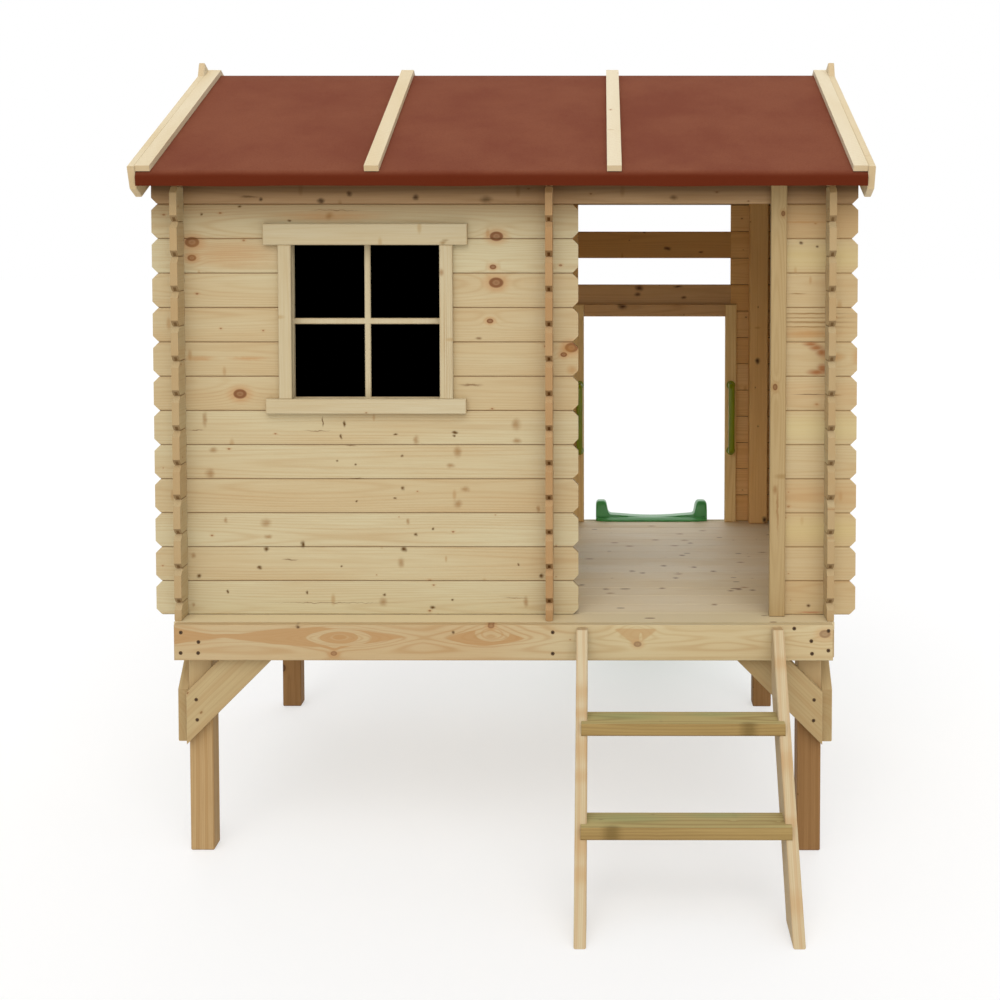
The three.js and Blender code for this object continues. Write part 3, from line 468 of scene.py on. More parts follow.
# The top log has darker tones and darkens further towards the eave: painted shade
board("front_top_log", X, Z, seed=8.8, tones=EAVE_PAINTED_SHADE, tints=[(Z, 1.665, 1.700, 0.8, "553a20")],
      marks=[("3a2410", 0.9, [(-395, 1682, 7, 7), (-226, 1673, 8, 8), (-467, 1664, 10, 7),
                              (-620, 1668, 6, 5)]),
             ("4c3418", 0.7, [(-47, 1668, 16, 10), (-650, 1674, 20, 3), (430, 1672, 10, 6)])],
      **front)

# Rear walls: their faces to the porch have brighter, warmer tones than outside, painted light for
# the dim porch
porch_side = (Y, REAR_Y + 0.012, REAR_Y + 0.006)
board("rear_wall_left", X, Z, seed=11.2, zones=[(INNER_PAINTED_LIGHT, [porch_side, (X, 0.10, 0.12)])], **front)
board("rear_wall_right", X, Z, seed=13.9, zones=[(INNER_PAINTED_LIGHT, [porch_side, (X, 0.82, 0.815)])], **front)
board("rear_transom_lower", X, Z, seed=14.4, zones=[(OVERHEAD_PAINTED_LIGHT, [porch_side])], **front, marks=[
    ("4e2a0a", 0.9, [(372, 1380, 13, 10), (366, 1360, 11, 7), (520, 1349, 10, 5),
                     (500, 1385, 15, 3)])])
board("rear_transom_upper", X, Z, seed=15.7, zones=[(TRANSOM_PAINTED_LIGHT, [porch_side])], **front, marks=[
    ("4e2a0a", 0.95, [(388, 1567, 5, 4), (465, 1512, 12, 6), (576, 1500, 8, 4)])])
# The rear top log, under the eave, has the darker SHADED tones: painted shade
board("rear_top_log", X, Z, seed=16.1, tones=SHADED, **front)

# Side walls: their ends are greyer in front, and their faces to the porch paler, painted light for
# the dim porch
ends = [(Y, WALL_Y + 0.010, WALL_Y - 0.020, 0.30, "a1875f")]
board("side_wall_left", Y, Z, seed=21.5, tints=ends, **cross)
indoors = [(Y, WALL_Y + 0.030, WALL_Y + 0.060), (Y, REAR_Y, REAR_Y - 0.030)]
board("side_wall_right", Y, Z, seed=24.2, tints=ends,
      zones=[(INSIDE_PAINTED_LIGHT, indoors + [(X, 0.829, 0.823)])], **cross)
# The partition's front ends have the darker SHADED tones, painted shade, and its faces to the
# porch the paler INSIDE_PAINTED_LIGHT tones, painted light
board("partition_wall", Y, Z, seed=27.8, zones=[
    (SHADED, [(Y, WALL_Y + 0.050, WALL_Y + 0.010)]), (INSIDE_PAINTED_LIGHT, indoors)], **cross)

# Trim
planed = dict(tones=PLANED, big=0.0, small=0.15)
board("window_header", X, Z, seed=31.0, grain=0.25, **planed,
      marks=[("8a6a3a", 0.7, [(-156, 1559, 8, 6), (-150, 1564, 10, 3)])])
board("window_sill", X, Z, seed=32.0, grain=0.25, **planed)
board("window_trim_left", Z, X, seed=33.0, grain=0.35, **planed)
board("window_trim_right", Z, X, seed=34.0, grain=0.35, **planed, shake=0.3, marks=[
    ("a3845a", 0.6, [(1300, -153, 150, 1.6), (1270, -147, 170, 1.4), (1230, -141, 110, 1.4),
                     (1250, -136, 130, 1.2)]),
    ("8f6236", 0.7, [(1483, -160, 9, 6)])])
board("window_sash", Z, X, seed=35.0, grain=0.2, tones=PLANED, big=0.0, small=0.0)
board("porch_jamb", Z, X, seed=36.0, tones=JAMB, big=0.0, small=0.2, knots=[
    (1191, 688, 6), (1632, 706, 5)], marks=[
    ("8a6238", 0.7, [(927, 690, 12, 7), (880, 696, 60, 3)])])
# The rear jambs' and lintel's faces to the doorway and porch have brighter tones: painted light
doorway = [(Y, REAR_Y - 0.005, REAR_Y - 0.013)]
for number, name in enumerate(("rear_jamb_left", "rear_jamb_right")):
    board(name, Z, X, seed=37.0 + number, zones=[(DOORWAY_PAINTED_LIGHT, doorway)], big=0.0)
board("rear_lintel", X, Z, seed=39.0, zones=[(OVERHEAD_PAINTED_LIGHT, doorway)], big=0.0, marks=[
    ("4e2a0a", 0.95, [(316, 1320, 15, 9)])])
# The post in the porch has the brighter INNER_PAINTED_LIGHT tones: painted light
board("rear_post", Z, X, seed=40.0, tones=INNER_PAINTED_LIGHT, big=0.0, marks=[
    ("2c1206", 1.0, [(1142, 762, 10, 8), (613, 787, 10, 8)])])

# Platform. The deck's knots and fainter stains are given by x and y.
deck_knots = [
    (365, -393), (457, -453), (414, -569), (569, -373), (624, -581), (660, -589), (600, -596),
    (489, -171), (524, -3), (516, -322), (334, -371), (259, -579), (191, -533), (545, -742),
    (428, -305)]
deck_stains = [
    (416, 43), (507, 37), (735, -131), (473, -39), (333, -46), (288, 3), (411, 253), (497, 132),
    (466, -404), (210, -217), (270, -624), (657, -261), (575, 180), (640, -560)]
# The deck's palest tones, kept at the back of the porch, are painted light for its dim floor; the
# darker, warmer tint towards the right wall is painted shade, and the strip in front of the wall,
# out in the light, gets a tone of its own
board("deck", X, Y, seed=43.0, pitch=LOG, offset=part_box("deck")[0][1], tones=WEATHERED_PAINTED_LIGHT,
      big=0.0, small=0.35, spikes=0.0, dashes=0.2, wear=0.7, gloss=0.2, tints=[
          (X, 0.50, 0.80, 0.25, "d3a67c"), (Y, WALL_Y + 0.60, WALL_Y + 0.10, 0.6, "cbb68d"),
          (Y, WALL_Y + 0.060, WALL_Y - 0.006, 0.9, "d3c29b")],
      marks=[("9a6c3c", 0.75, [(x, y, 13, 8) for x, y in deck_stains]),
             ("74451c", 0.8, [(x, y, 9, 9) for x, y in deck_knots])])
board("fascia_front", X, Z, seed=45.6, grain=0.95, spacing=0.006, big=0.0, small=0.1, spikes=0.0,
      knots=[(-426, 528, 6), (-31, 598, 6), (337, 552, 7), (807, 578, 10)],
      marks=[("4a2c12", 0.9, [(-126, 582, 4, 4), (-517, 596, 5, 4)])],
      tints=[(X, 0.20, -0.10, 0.34, "ad8a60"), (X, 0.10, 0.30, 0.25, "cfbf94")],
      figure=dict(ridge=566, half=17, height=0.98, hills=[
          (-410, 568, 105, 26, 2.7), (-828, 570, 85, 24, 0.75), (-30, 580, 85, 30, 1.62),
          (335, 585, 45, 18, 1.3), (800, 560, 80, 20, 0.4), (-200, 560, 60, 20, -0.5),
          (160, 560, 100, 20, -0.6), (560, 560, 120, 20, -0.6)], patches=[
          (-860, 572, 175, 26, 1, 0.75), (-695, 573, 120, 5, 2, 0.75),
          (-476, 570, 226, 26, 1.3, 0.75), (-424, 547, 45, 13, 1, 0.75),
          (-413, 568, 82, 23.5, 1.7, 0), (-424, 548, 26, 9, 1, 0),
          (-413, 568, 49, 16.5, 1.8, 0.75), (-411, 569, 24, 9.5, 1.8, 0.55),
          (-411, 569, 18, 6.5, 1.8, 0.9), (-44, 567, 96, 20, 1.4, 0.75),
          (-28, 578, 43, 20.5, 2, 0), (-28, 577, 29, 15, 2, 0.45), (-28, 578, 23, 12, 2, 0),
          (332, 588, 52, 42, 1, 0.75), (330, 612, 100, 21, 6, 0), (345, 567, 4, 14, 2, 0.2)]))
board("fascia_rear", X, Z, seed=46.9, grain=0.5, flame=0.35, spacing=0.006)
# The front and rear rims, beneath the deck, have the darker SHADED tones: painted shade
for number, name in enumerate(("rim_front", "rim_rear")):
    board(name, X, Z, seed=50.0 + number, tones=SHADED)
for number, name in enumerate(("rim_left", "rim_right")):
    board(name, Y, Z, seed=53.0 + number)
# The legs' darker TAN_PAINTED_SHADE and BROWN_PAINTED_SHADE tones are painted shade under the
# platform; the right and rear legs are darkest
for number, name in enumerate(n for n in nodes if n.startswith("leg_")):
    board(name, Z, X, seed=60.0 + number * 1.7, flame=0.3, spikes=0.0,
          tints=[(Z, 0.38, 0.47, 0.75, "c2aa7e")] if "front" in name else (),
          tones=BROWN_PAINTED_SHADE if "rear" in name or name.endswith("right") else TAN_PAINTED_SHADE)
bracing = dict(tones=BRACING, grain=0.35, flame=0.2, spacing=0.008)
for number, name in enumerate(n for n in nodes if n.startswith("brace_")):
    side = 1 if "left" in name else -1
    if "side" in name:
        slope = (0, 1 if "front" in name else -1, 1)
        board(name, slope, (0, -slope[1], 1), seed=70.0 + number * 1.9, **bracing)
    else:
        board(name, (side, 0, 1), (-side, 0, 1), seed=70.0 + number * 1.9, **bracing)

# Ladder
rise = math.radians(53.6)
stringer_front = 1133
stringer_bands = (((-252, 22), (-305, 12), (-393, 30), (-455, 18), (-608, 35), (-677, 22)),
                  ((-180, 20), (-420, 30), (-560, 14), (-740, 30)))
for number, name in enumerate(("ladder_stringer_left", "ladder_stringer_right")):
    board(name, (0, math.cos(rise), math.sin(rise)), (0, -math.sin(rise), math.cos(rise)),
          seed=81.0 + number * 2.3, flame=0.25, big=0.1, tones=LADDER,
          marks=[("b48a58", 0.4, [(u, stringer_front, half, 20)
                                  for u, half in stringer_bands[number]])])
# The treads' level faces get a paler colour: painted light
for number, name in enumerate(("ladder_tread_lower", "ladder_tread_upper")):
    front_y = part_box(name)[0][1] / MM
    board(name, X, Y, seed=85.0 + number * 3.1, tones=GREENISH, grain=0.7, flame=0.3,
          spacing=0.006, big=0.25, tops="bdb07c", marks=[
              ("8fa070", 0.45, [(300, front_y + 60, 110, 30), (520, front_y + 75, 80, 20)]),
              ("5e4a22", 0.6, [(270 + number * 330, front_y, 22, 18)])])

# Roof timber
up_front = (0, math.cos(PITCH), math.sin(PITCH))
up_rear = (0, -math.cos(PITCH), math.sin(PITCH))
ridge, roof_board, roof_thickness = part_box("roof_boards_front")[1], 0.092, 0.017
# The roof boards and the ridge beam have the paler INSIDE_PAINTED_LIGHT tones: painted light under
# the roof
for number, (name, up) in enumerate([("roof_boards_front", up_front),
                                     ("roof_boards_rear", up_rear)]):
    start = Vector(up).dot(Vector((0, ridge[1], ridge[2] - roof_thickness)))
    board(name, X, up, seed=90.0 + number, pitch=roof_board, offset=start, tones=INSIDE_PAINTED_LIGHT)
board("ridge_beam", X, Z, seed=93.0, tones=INSIDE_PAINTED_LIGHT)
for number, name in enumerate(n for n in nodes if n.startswith("barge_")):
    board(name, up_front if "front" in name else up_rear, Z, seed=95.0 + number * 1.3,
          tones=BATTEN, grain=0.3)
for number, name in enumerate(n for n in nodes if n.startswith("roof_batten")):
    board(name, Y, X, seed=101.0 + number * 1.3, grain=0.3, tones=BATTEN, small=0.2)

# Felt, window, plastics, screws


def felt():
    g = Graph("roof_felt")
    grit = g.noise(g.place, 900.0, 2.0, 0.7)
    blotch = g.noise(g.place, 4.0, 4.0, 0.6)
    speck = g.noise(g.place, 260.0, 3.0, 0.7)
    colour = g.mix(g.ramp(blotch, 0.3, 0.7), linear("763f2c"), linear("804a34"))
    colour = g.mix(g.ramp(speck, 0.45, 0.75, 0.0, 0.4), colour, linear("5c2416"))
    colour = g.mix(g.ramp(grit, 0.6, 0.8, 0.0, 0.35), colour, linear("a3604c"))
    # The nearer upright a face, the deeper its red: painted shade where less light falls
    upright_shade = g.sub(1.0, g.ramp(g.size(g.dot(g.normal, Z)), 0.12, 0.92))
    colour = g.mix(g.mul(upright_shade, 0.95), colour, linear("5c220c"))
    return g.surface(colour, 0.95, g.bump(g.add(grit, speck), 0.5, 0.0012), gloss=0.1)


def pane():
    # Painted shade: the pane is black, standing in for the dark room behind the glass
    g = Graph("window_pane")
    smear = g.noise(g.place, 6.0, 3.0)
    return g.surface(linear("000000"), g.ramp(smear, 0.3, 0.7, 0.4, 0.55), gloss=0.0)


def plastic(name, colour, deep, roughness):
    g = Graph(name)
    cloud = g.noise(g.place, 5.0, 3.0)
    pores = g.noise(g.place, 700.0, 2.0, 0.6)
    streaks = g.vector(g.dot(g.place, (90, 0, 0)), g.dot(g.place, (0, 5, 0)))
    scuff = g.noise(streaks, 1.0, 4.0, 0.7)
    tone = g.mix(g.ramp(cloud, 0.3, 0.7), linear(colour), linear(deep))
    tone = g.mix(g.ramp(scuff, 0.58, 0.78, 0.0, 0.18), tone, linear("7db884"))
    return g.surface(tone, roughness, g.bump(pores, 0.25, 0.0004), gloss=0.4)


def steel():
    g = Graph("screw_steel")
    stain = g.noise(g.place, 400.0, 2.0)
    return g.surface(g.mix(stain, linear("4c3620"), linear("6b5030")), 0.5, gloss=0.2)


dress("window_pane", pane())
slide_green = plastic("slide_plastic", "50a65a", "469850", 0.35)
grip_green = plastic("grip_plastic", "8a9a0c", "7f8c09", 0.3)
screw_steel = steel()
# The screws' cross recesses are near black: painted shade
screw_recess_shade = Graph("screw_recess_shade").surface(linear("1d140c"), 0.8)

# Meshes made here


def piece(name, verts, faces, materials, replaced=(), smooth=None, shades=None,
          closed=True):
    """A new piece from points and faces, in place of the nodes in replaced. smooth is the angle
    in degrees up to which edges are shaded smooth, shades gives each face's material, and the
    faces of a closed body are turned outwards."""
    mesh = bpy.data.meshes.new(name)
    mesh.from_pydata([tuple(v) for v in verts], [], faces)
    for material in materials:
        mesh.materials.append(material)
    if shades:
        mesh.polygons.foreach_set("material_index", shades)
    if closed:
        work = bmesh.new()
        work.from_mesh(mesh)
        bmesh.ops.recalc_face_normals(work, faces=work.faces)
        work.to_mesh(mesh)
        work.free()
    if smooth:
        mesh.shade_smooth()
        mesh.set_sharp_from_angle(angle=math.radians(smooth))
    made = bpy.data.objects.new(name, mesh)
    bpy.context.scene.collection.objects.link(made)
    if replaced:
        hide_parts(*replaced)
    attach(made, "root")
    return made


def rounded(points, radii, steps=6):
    """An open line of points in a plane, with its inner corners turned on the given radii."""
    longest = 0.49  # of the line to the next corner, which a bend may take up
    out = [points[0]]
    for before, corner, after, radius in zip(points, points[1:], points[2:], radii):
        p, q, r = Vector(before), Vector(corner), Vector(after)
        a, b = (p - q).normalized(), (r - q).normalized()
        half = a.angle(b) / 2
        reach = min(radius / math.tan(half), (p - q).length * longest, (r - q).length * longest)
        radius = reach * math.tan(half)
        centre = q + (a + b).normalized() * radius / math.sin(half)
        start, end = q + a * reach - centre, q + b * reach - centre
        angle = start.angle_signed(end)
        for step in range(steps + 1):
            turned = start.copy()
            turned.rotate(Matrix.Rotation(-angle * step / steps, 2))
            out.append(tuple(centre + turned))
    out.append(points[-1])
    return out


def skin(rows, size):
    """Faces between rings of points that follow one another, with both ends closed."""
    faces = []
    for row in range(rows - 1):
        for column in range(size):
            a, b = row * size + column, row * size + (column + 1) % size
            faces.append((a, b, b + size, a + size))
    last = (rows - 1) * size
    return faces + [tuple(range(size)), tuple(range(last, last + size))]


def sweep(path, section):
    """A section carried along a path. Each path entry gives a place, and the two directions that
    the section's points are laid along."""
    verts = [place + first * p + second * q for place, first, second in path for p, q in section]
    return verts, skin(len(path), len(section))


def revolve(centre, axis, profile, sides=32):
    """A turned body: profile entries give a distance along the axis and a radius there."""
    n = Vector(axis)
    s = n.orthogonal().normalized()
    t = n.cross(s)
    ring = [(math.cos(math.tau * k / sides), math.sin(math.tau * k / sides)) for k in range(sides)]
    verts = [Vector(centre) + n * h + (s * x + t * y) * r for h, r in profile for x, y in ring]
    return verts, skin(len(profile), sides)


def joined(*bodies):
    verts, faces = [], []
    for some_verts, some_faces in bodies:
        base = len(verts)
        verts += some_verts
        faces += [tuple(i + base for i in face) for face in some_faces]
    return verts, faces


# Slide: one moulded shell, hollow beneath, from the lip on the deck to the run-out

SHELL, DECK_GAP = 0.006, 0.0003
RAIL_HEIGHT, RAIL_WIDTH, RAIL_DRAFT, RAIL_FILLET = 0.042, 0.042, 0.009, 0.012
RAIL_MIDDLE, SIDE_REACH = 0.020, 0.012  # where a rail's inner side begins, how far a side reaches
OUTER_FILLET, BED_FILLET = 0.0115, 0.014
DISH = 0.009  # how much deeper the middle of the bed is than its edges
SKIRT = 0.0157  # how far the sides hang below the bed
LIP_LENGTH, LIP_CORNER, LIP_EDGE, LIP_ROLL, ROLL_START = 0.022, 0.10, 0.003, 0.009, 0.004
BED_TOP = DECK_Z + LIP_EDGE + LIP_ROLL
RAIL_START, CROWN_START, CROWN_RADIUS = 0.020, 0.045, 0.180
SLOPE = math.radians(34)
RUN_OUT_Z, RUN_OUT_RADIUS = 0.112, 0.420

Station = namedtuple("Station", "y bed angle skirt rise width hollow inset")


def slide_stations(low, high):
    """The slide's cross sections, from the lip to the run-out's end. Each has its place, the bed's
    height and slope, how far the sides hang down, the share that the rails have risen, half the
    width, whether there is a hollow beneath, and how far the outside is drawn in."""
    hip = (high[0] - low[0]) / 2
    stations = []

    def station(y, bed, angle=0.0, skirt=SKIRT, rise=1.0, width=hip, hollow=True, inset=0.0):
        stations.append(Station(y, bed, angle, skirt, rise, width, hollow, inset))

    # The lip, a plate on the deck with round corners and a rolled edge
    front = low[1]
    for millimetres in (0, 1, 3, 6, 9, 12, 15, 18, 21):
        y = MM * millimetres
        turn = max(0.0, LIP_LENGTH - y) / LIP_LENGTH
        width = hip - LIP_CORNER * (1 - math.sqrt(1 - turn ** 2)) ** 1.6
        roll = math.sin(min(1.0, (y + ROLL_START) / (LIP_LENGTH + ROLL_START)) * math.pi / 2)
        bed = DECK_Z + LIP_EDGE + LIP_ROLL * roll
        station(front + y, bed, skirt=bed - DECK_Z - DECK_GAP, rise=0.0, width=width, hollow=False)

    # The rails' start, then the bend over the deck's edge
    for step in range(9):
        share = step / 8
        rise = math.sqrt(1 - (1 - share) ** 2)
        station(front + LIP_LENGTH + RAIL_START * share, BED_TOP, rise=rise, hollow=False)
    crown = front + CROWN_START
    station(crown - 0.002, BED_TOP)
    for step in range(13):
        angle = SLOPE * step / 12
        drop = CROWN_RADIUS * (1 - math.cos(angle))
        station(crown + CROWN_RADIUS * math.sin(angle), BED_TOP - drop, angle)

    # The chute, straight down to the run-out's bend
    chute_y, chute_z = stations[-1].y, stations[-1].bed
    below = RUN_OUT_Z + RUN_OUT_RADIUS * (1 - math.cos(SLOPE))
    foot_y = chute_y + (chute_z - below) / math.tan(SLOPE)
    for step in range(1, 12):
        share = step / 12
        station(chute_y + (foot_y - chute_y) * share, chute_z + (below - chute_z) * share, SLOPE)

    # The run-out, whose sides reach down to the ground
    for step in range(21):
        share = step / 20
        angle = SLOPE * (1 - share)
        bed = RUN_OUT_Z + RUN_OUT_RADIUS * (1 - math.cos(angle))
        y = foot_y + RUN_OUT_RADIUS * (math.sin(SLOPE) - math.sin(angle))
        station(y, bed, angle, SKIRT + (bed - SKIRT) * share * share)
    end = high[1]
    station(end - SHELL - 0.001, RUN_OUT_Z, 0.0, RUN_OUT_Z)
    for step in range(7):
        turn = math.pi / 2 * step / 6
        station(end - SHELL * (1 - math.sin(turn)), RUN_OUT_Z, 0.0, RUN_OUT_Z, hollow=False,
                inset=SHELL * (1 - math.cos(turn)))
    return stations


def slide_ring(station):
    """A cross section as a closed line of x and z: the shell's lower line, then its upper one."""
    _, bed, angle, skirt, rise, width, hollow, inset = station
    lift = 1 / math.cos(angle)
    plate = rise == 0.0
    rise = max(rise, 0.05)
    top, side, inner = DISH + RAIL_HEIGHT * rise - inset, width - inset, RAIL_WIDTH - width
    line = [(-side, -skirt / lift - 1.0), (-side, top), (inner - RAIL_DRAFT * rise + inset, top),
            (inner + inset * 0.3, DISH - inset), (-width * 0.6, DISH * 0.42 - inset)]
    fillet = RAIL_FILLET if rise > 0.4 else RAIL_FILLET * rise * 2
    outer_fillet = min(fillet, OUTER_FILLET)
    line = rounded(line, (outer_fillet, outer_fillet, BED_FILLET), 7)[1:-1]
    bed_edge = line[-1][0]
    for share in (0.25, 0.5, 0.75, 1.0):
        line.append((bed_edge * (1 - share), DISH * (1 - share) ** 2 - inset))
    foot = (-side, bed - skirt)
    upper = [foot] + [(x, bed + z * lift) for x, z in line]
    if plate:
        upper = [foot] + [(max(x, -side), min(z, bed)) for x, z in upper[1:]]
    lower = []
    for x, z in upper:
        drop = z - SHELL * lift if hollow and (x, z) != foot else bed - skirt
        if -width + RAIL_MIDDLE < x < inner + SIDE_REACH and z > bed + DISH * 1.2 * lift:
            x -= SHELL  # the rail's inner side
        elif x < -width + SIDE_REACH:
            x += SHELL  # its outer side
        lower.append((x, drop))
    ring = lower + [(-x, z) for x, z in reversed(lower[:-1])]
    return ring + list(reversed(upper + [(-x, z) for x, z in reversed(upper[:-1])]))


def build_slide():
    low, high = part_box("slide")
    middle_x = (high[0] + low[0]) / 2
    stations = slide_stations(low, high)
    verts = []
    for station in stations:
        ring = slide_ring(station)
        verts += [Vector((middle_x + x, station.y, max(z, 0.0))) for x, z in ring]
    size = len(ring)
    faces = skin(len(stations), size)[:-2]
    for start in (0, (len(stations) - 1) * size):
        for k in range(size // 2 - 1):
            faces.append((start + k, start + k + 1, start + size - 2 - k, start + size - 1 - k))
    piece("slide_moulding", verts, faces, [slide_green], ["slide"], smooth=50)


build_slide()

# Roof felt: one sheet with rounded bends, its hanging edges a little wavy

FELT_THICKNESS, EAVE_PROUD, HEM_PROUD, EAVE_RADIUS = 0.003, 0.0035, 0.001, 0.024
EAVE_WAVE, HEM_WAVE, RADIUS_WAVE = 0.0012, 0.0016, 0.004
FELT_COLUMNS, FELT_STEPS = 150, 16


def build_felt():
    low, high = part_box("roof_felt")
    mid_y, crown, rise = (low[1] + high[1]) / 2, high[2], math.tan(PITCH)

    def outline(x):
        """The outer line from hem to hem at one place along the ridge, its edges softly rolled."""
        wave = (math.sin(x * 11.0) * 0.5 + math.sin(x * 23.0 + 1.0) * 0.3
                + math.sin(x * 5.0 + 2.0) * 0.2)
        eave = low[1] - EAVE_PROUD - EAVE_WAVE * wave
        hem = (low[1] - HEM_PROUD, low[2] + HEM_WAVE + HEM_WAVE * wave)
        bend = (eave, crown - (mid_y - eave) * rise)
        half = rounded([hem, bend, (mid_y, crown)], (EAVE_RADIUS + RADIUS_WAVE * wave,), 10)
        (y0, z0), (y1, z1) = half[-2:]
        half[-1:] = [(y0 + (y1 - y0) * k / FELT_STEPS, z0 + (z1 - z0) * k / FELT_STEPS)
                     for k in range(1, FELT_STEPS + 1)]
        return half + [(2 * mid_y - y, z) for y, z in reversed(half[:-1])]

    verts, faces = [], []
    for column in range(FELT_COLUMNS + 1):
        x = low[0] + (high[0] - low[0]) * column / FELT_COLUMNS
        line = outline(x)
        for inward in (0.0, FELT_THICKNESS):
            for index, (y, z) in enumerate(line):
                before, after = line[max(index - 1, 0)], line[min(index + 1, len(line) - 1)]
                run = Vector((after[0] - before[0], after[1] - before[1])).normalized()
                verts.append(Vector((x, y + run.y * inward, z - run.x * inward)))
    size = len(line)
    for column in range(FELT_COLUMNS):
        for k in range(size - 1):
            a = column * 2 * size + k
            b = a + 2 * size
            faces.append((a, b, b + 1, a + 1))
            a, b = a + size, b + size
            faces.append((a, a + 1, b + 1, b))
        for k in (0, size - 1):
            a = column * 2 * size + k
            faces.append((a, a + size, a + 3 * size, a + 2 * size))
    for column in (0, FELT_COLUMNS):
        base = column * 2 * size
        for k in range(size - 1):
            faces.append((base + k, base + k + 1, base + size + k + 1, base + size + k))
    made = piece("felt_sheet", verts, faces, [felt()], ["roof_felt"], smooth=50)


build_felt()

# Hand grips: a bowed bar on two round feet

GRIP_THICKNESS, GRIP_WIDTH, GRIP_BEND, GRIP_EDGE, GRIP_SUNK = 0.014, 0.019, 0.022, 0.0055, 0.001
FOOT_RADIUS = 0.014
FOOT_PROFILE = [(0.0, FOOT_RADIUS), (0.004, FOOT_RADIUS), (0.0055, FOOT_RADIUS * 0.95),
                (0.0068, FOOT_RADIUS * 0.8), (0.007, FOOT_RADIUS * 0.5)]


def build_grip(name):
    low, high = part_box(name)
    middle_x, face, bow = (low[0] + high[0]) / 2, high[1], low[1] + GRIP_THICKNESS / 2
    foot_heights = (low[2] + FOOT_RADIUS, high[2] - FOOT_RADIUS)
    bottom, top = foot_heights
    radius = GRIP_BEND - GRIP_THICKNESS / 2
    path = rounded([(face - GRIP_SUNK, bottom), (bow, bottom), (bow, top),
                    (face - GRIP_SUNK, top)], (radius, radius), 8)
    p, q = GRIP_THICKNESS / 2, GRIP_WIDTH / 2
    section = rounded([(0.0, -q), (p, -q), (p, q), (-p, q), (-p, -q), (0.0, -q)],
                      (GRIP_EDGE,) * 4, 5)[1:]
    entries = []
    for index, point in enumerate(path):
        before, after = path[max(index - 1, 0)], path[min(index + 1, len(path) - 1)]
        run = (Vector(after) - Vector(before)).normalized()
        entries.append((Vector((middle_x, *point)), Vector((0, run.y, -run.x)), Vector(X)))
    feet = [revolve((middle_x, face, z), (0, -1, 0), FOOT_PROFILE) for z in foot_heights]
    verts, faces = joined(sweep(entries, section), *feet)
    piece(name + "_moulding", verts, faces, [grip_green], [name], smooth=45)


build_grip("grip_left")
build_grip("grip_right")

# Joists under the deck, between the rims

JOIST_HALF_WIDTH, JOIST_ARRIS, JOIST_GAP, JOIST_RAISED = 0.014, 0.002, 0.0003, 0.012
JOIST_PLACES = (-0.42, 0.0, 0.42)


def build_joists():
    front_rim, rear_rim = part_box("rim_front"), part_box("rim_rear")
    y0, y1 = front_rim[1][1] + JOIST_GAP, rear_rim[0][1] - JOIST_GAP
    z0, z1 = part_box("fascia_front")[0][2] + JOIST_RAISED, front_rim[1][2]
    # The joists, in the deck's shadow, have the darker SHADED tones: painted shade
    material = wood("joists", Y, Z, (0, 0, (z0 + z1) / 2), seed=120.0, tones=SHADED)
    for number, x in enumerate(JOIST_PLACES):
        left, right = x - JOIST_HALF_WIDTH, x + JOIST_HALF_WIDTH
        verts = [Vector((side, y, z)) for y in (y0, y1)
                 for side, z in ((left, z0), (right, z0), (right, z1), (left, z1))]
        faces = [(0, 1, 2, 3), (7, 6, 5, 4), (0, 4, 5, 1), (1, 5, 6, 2), (2, 6, 7, 3),
                 (3, 7, 4, 0)]
        made = piece(f"joist_{number + 1}", verts, faces, [material])
        bevel = made.modifiers.new("arris", "BEVEL")
        bevel.width, bevel.segments = JOIST_ARRIS, 2


build_joists()

# Screws: countersunk heads, a hair proud of the wood

SCREW_SIDES = 12
HEAD_PROFILE = ((-0.0004, 1.0), (0.0003, 1.0), (0.0006, 0.82))  # heights, shares of the radius
RECESS_HEIGHT, RECESS_LENGTH_SHARE, RECESS_WIDTH_SHARE = 0.0007, 0.62, 0.16


def screw(verts, faces, shades, place, normal, radius):
    """Adds a head and its cross recess, whose two flat near-black quads are painted shade for the
    hole.
    """
    n = Vector(normal).normalized()
    s = n.orthogonal().normalized()
    t = n.cross(s)
    base = len(verts)
    for height, share in HEAD_PROFILE:
        for step in range(SCREW_SIDES):
            angle = math.tau * step / SCREW_SIDES
            out = s * math.cos(angle) + t * math.sin(angle)
            verts.append(Vector(place) + n * height + out * (radius * share))
    for ring in range(2):
        for step in range(SCREW_SIDES):
            a = base + ring * SCREW_SIDES + step
            b = base + ring * SCREW_SIDES + (step + 1) % SCREW_SIDES
            faces.append((a, b, b + SCREW_SIDES, a + SCREW_SIDES))
            shades.append(0)
    faces.append(tuple(range(base + 2 * SCREW_SIDES, base + 3 * SCREW_SIDES)))
    shades.append(0)
    for p, q in ((s, t), (t, -s)):
        base = len(verts)
        for x, y in ((-1, -1), (1, -1), (1, 1), (-1, 1)):
            corner = p * x * radius * RECESS_LENGTH_SHARE + q * y * radius * RECESS_WIDTH_SHARE
            verts.append(Vector(place) + n * RECESS_HEIGHT + corner)
        faces.append(tuple(range(base, base + 4)))
        shades.append(1)


def screws(name, places, radius):
    verts, faces, shades = [], [], []
    for place, normal in places:
        screw(verts, faces, shades, place, normal, radius)
    piece(name, verts, faces, [screw_steel, screw_recess_shade], shades=shades,
          closed=False)


def front_screws(name, node, places, radius):
    """Screws in a node's front face, each at its own x and z."""
    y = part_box(node)[0][1]
    screws(name, [((x, y, z), (0, -1, 0)) for x, z in places], radius)


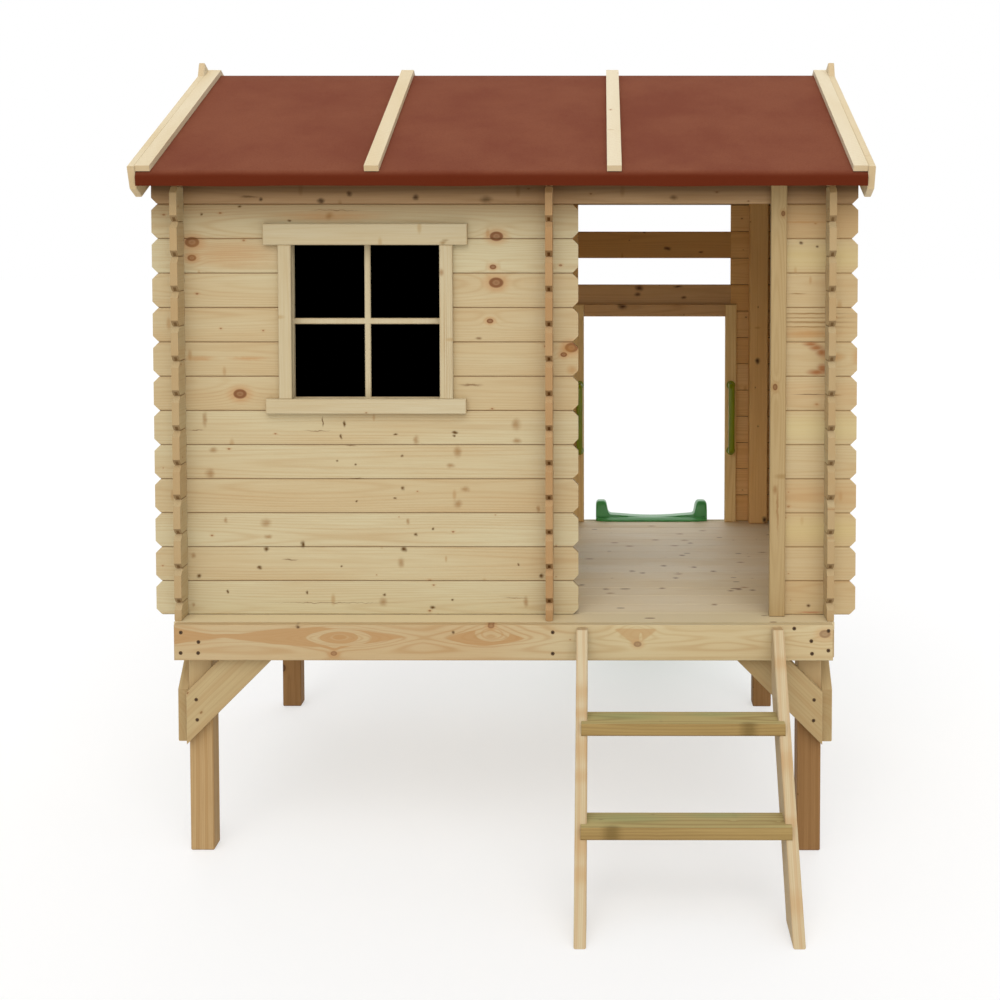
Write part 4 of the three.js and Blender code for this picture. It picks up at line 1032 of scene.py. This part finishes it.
FASCIA_SCREW, BRACE_SCREW = 0.0050, 0.0048
BRACE_SCREW_HEIGHTS, BRACE_SCREW_INSET = (0.401, 0.349), 0.022
front_screws("fascia_screws", "fascia_front", [
    (-0.810, 0.581), (-0.811, 0.529), (-0.766, 0.557), (-0.767, 0.529), (0.124, 0.582),
    (0.124, 0.528), (0.730, 0.592), (0.816, 0.586), (0.773, 0.560), (0.816, 0.536),
    (0.775, 0.528)], FASCIA_SCREW)
front_screws("brace_screws", "brace_front_left", [
    (-0.781, 0.401), (-0.779, 0.349), (0.785, 0.401), (0.784, 0.348)], BRACE_SCREW)
side_places = []
for name in ("brace_side_front_left", "brace_side_front_right", "brace_side_rear_left",
             "brace_side_rear_right"):
    low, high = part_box(name)
    x, normal = (high[0], (1, 0, 0)) if "right" in name else (low[0], (-1, 0, 0))
    y = low[1] + BRACE_SCREW_INSET if "front" in name else high[1] - BRACE_SCREW_INSET
    side_places += [((x, y, z), normal) for z in BRACE_SCREW_HEIGHTS]
screws("side_brace_screws", side_places, BRACE_SCREW)

# Floor, light and camera

FLOOR_SIZE, FLOOR_Z = 60, -0.0005
FLOOR_GLOW = 0.5  # how much of the floor that is seen is plain white, the rest keeps the shadow
WORLD_STRENGTH = 0.66
# Each sun's strength, spread, tilt and turn, in degrees
SUNS = dict(key=(0.5, 50, 37, -14), fill=(1.15, 60, 56, 6), back=(0.55, 60, -50, 0))


def seen(g):
    """One for the rays that show a backdrop: those of the camera, of gloss and of glass."""
    path = g.node("ShaderNodeLightPath")
    rays = g.math("MAXIMUM", path.outputs["Is Camera Ray"], path.outputs["Is Glossy Ray"])
    return g.math("MAXIMUM", rays, path.outputs["Is Transmission Ray"])


def build_floor():
    bpy.ops.mesh.primitive_plane_add(size=FLOOR_SIZE, location=(0, 0, FLOOR_Z))
    ground = bpy.context.object
    ground.name = "floor"
    g = Graph("floor")
    rays = seen(g)
    pale = g.mix(g.noise(g.place, 2.0, 3.0), linear("efefef"), linear("f2f2f2"))
    matt = g.node("ShaderNodeBsdfDiffuse", {"Color": g.mix(rays, pale, linear("fdfdfd"))})
    white = g.node("ShaderNodeEmission", {"Strength": 1.0})
    blend = g.node("ShaderNodeMixShader", {
        0: g.mul(rays, FLOOR_GLOW), 1: matt.outputs[0], 2: white.outputs[0]})
    g.node("ShaderNodeOutputMaterial", {0: blend.outputs[0]})
    ground.data.materials.append(g.owner)


def build_world():
    """Soft light from all sides, and plain white where the world itself is seen."""
    g = Graph("studio", bpy.data.worlds)
    bpy.context.scene.world = g.owner
    soft, white = (g.node("ShaderNodeBackground", {"Color": (1, 1, 1, 1), "Strength": strength})
                   for strength in (WORLD_STRENGTH, 1.0))
    blend = g.node("ShaderNodeMixShader", {0: seen(g), 1: soft.outputs[0], 2: white.outputs[0]})
    g.node("ShaderNodeOutputWorld", {0: blend.outputs[0]})


def build_suns():
    for name, (strength, spread, tilt, turn) in SUNS.items():
        lamp = bpy.data.lights.new(name, "SUN")
        lamp.energy, lamp.angle = strength, math.radians(spread)
        made = bpy.data.objects.new(name, lamp)
        made.rotation_euler = (math.radians(tilt), 0, math.radians(turn))
        bpy.context.scene.collection.objects.link(made)


def build_camera():
    """The camera as fitted to the photo: where it stood, how it was turned, and its frame."""
    lens = bpy.data.cameras.new("camera")
    lens.lens, lens.sensor_width, lens.sensor_fit = 54.822, 36.0, "HORIZONTAL"
    lens.shift_x, lens.shift_y = -0.0986, -0.22
    lens.clip_end = 200
    camera = bpy.data.objects.new("camera", lens)
    camera.location = (0.24592, WALL_Y - 3.8748, 1.64454)
    camera.rotation_euler = (math.pi / 2 - 0.0469, 0, 0.0018)
    bpy.context.scene.collection.objects.link(camera)
    bpy.context.scene.camera = camera


build_floor()
build_world()
build_suns()
build_camera()
bpy.context.scene.view_settings.view_transform = "Standard"
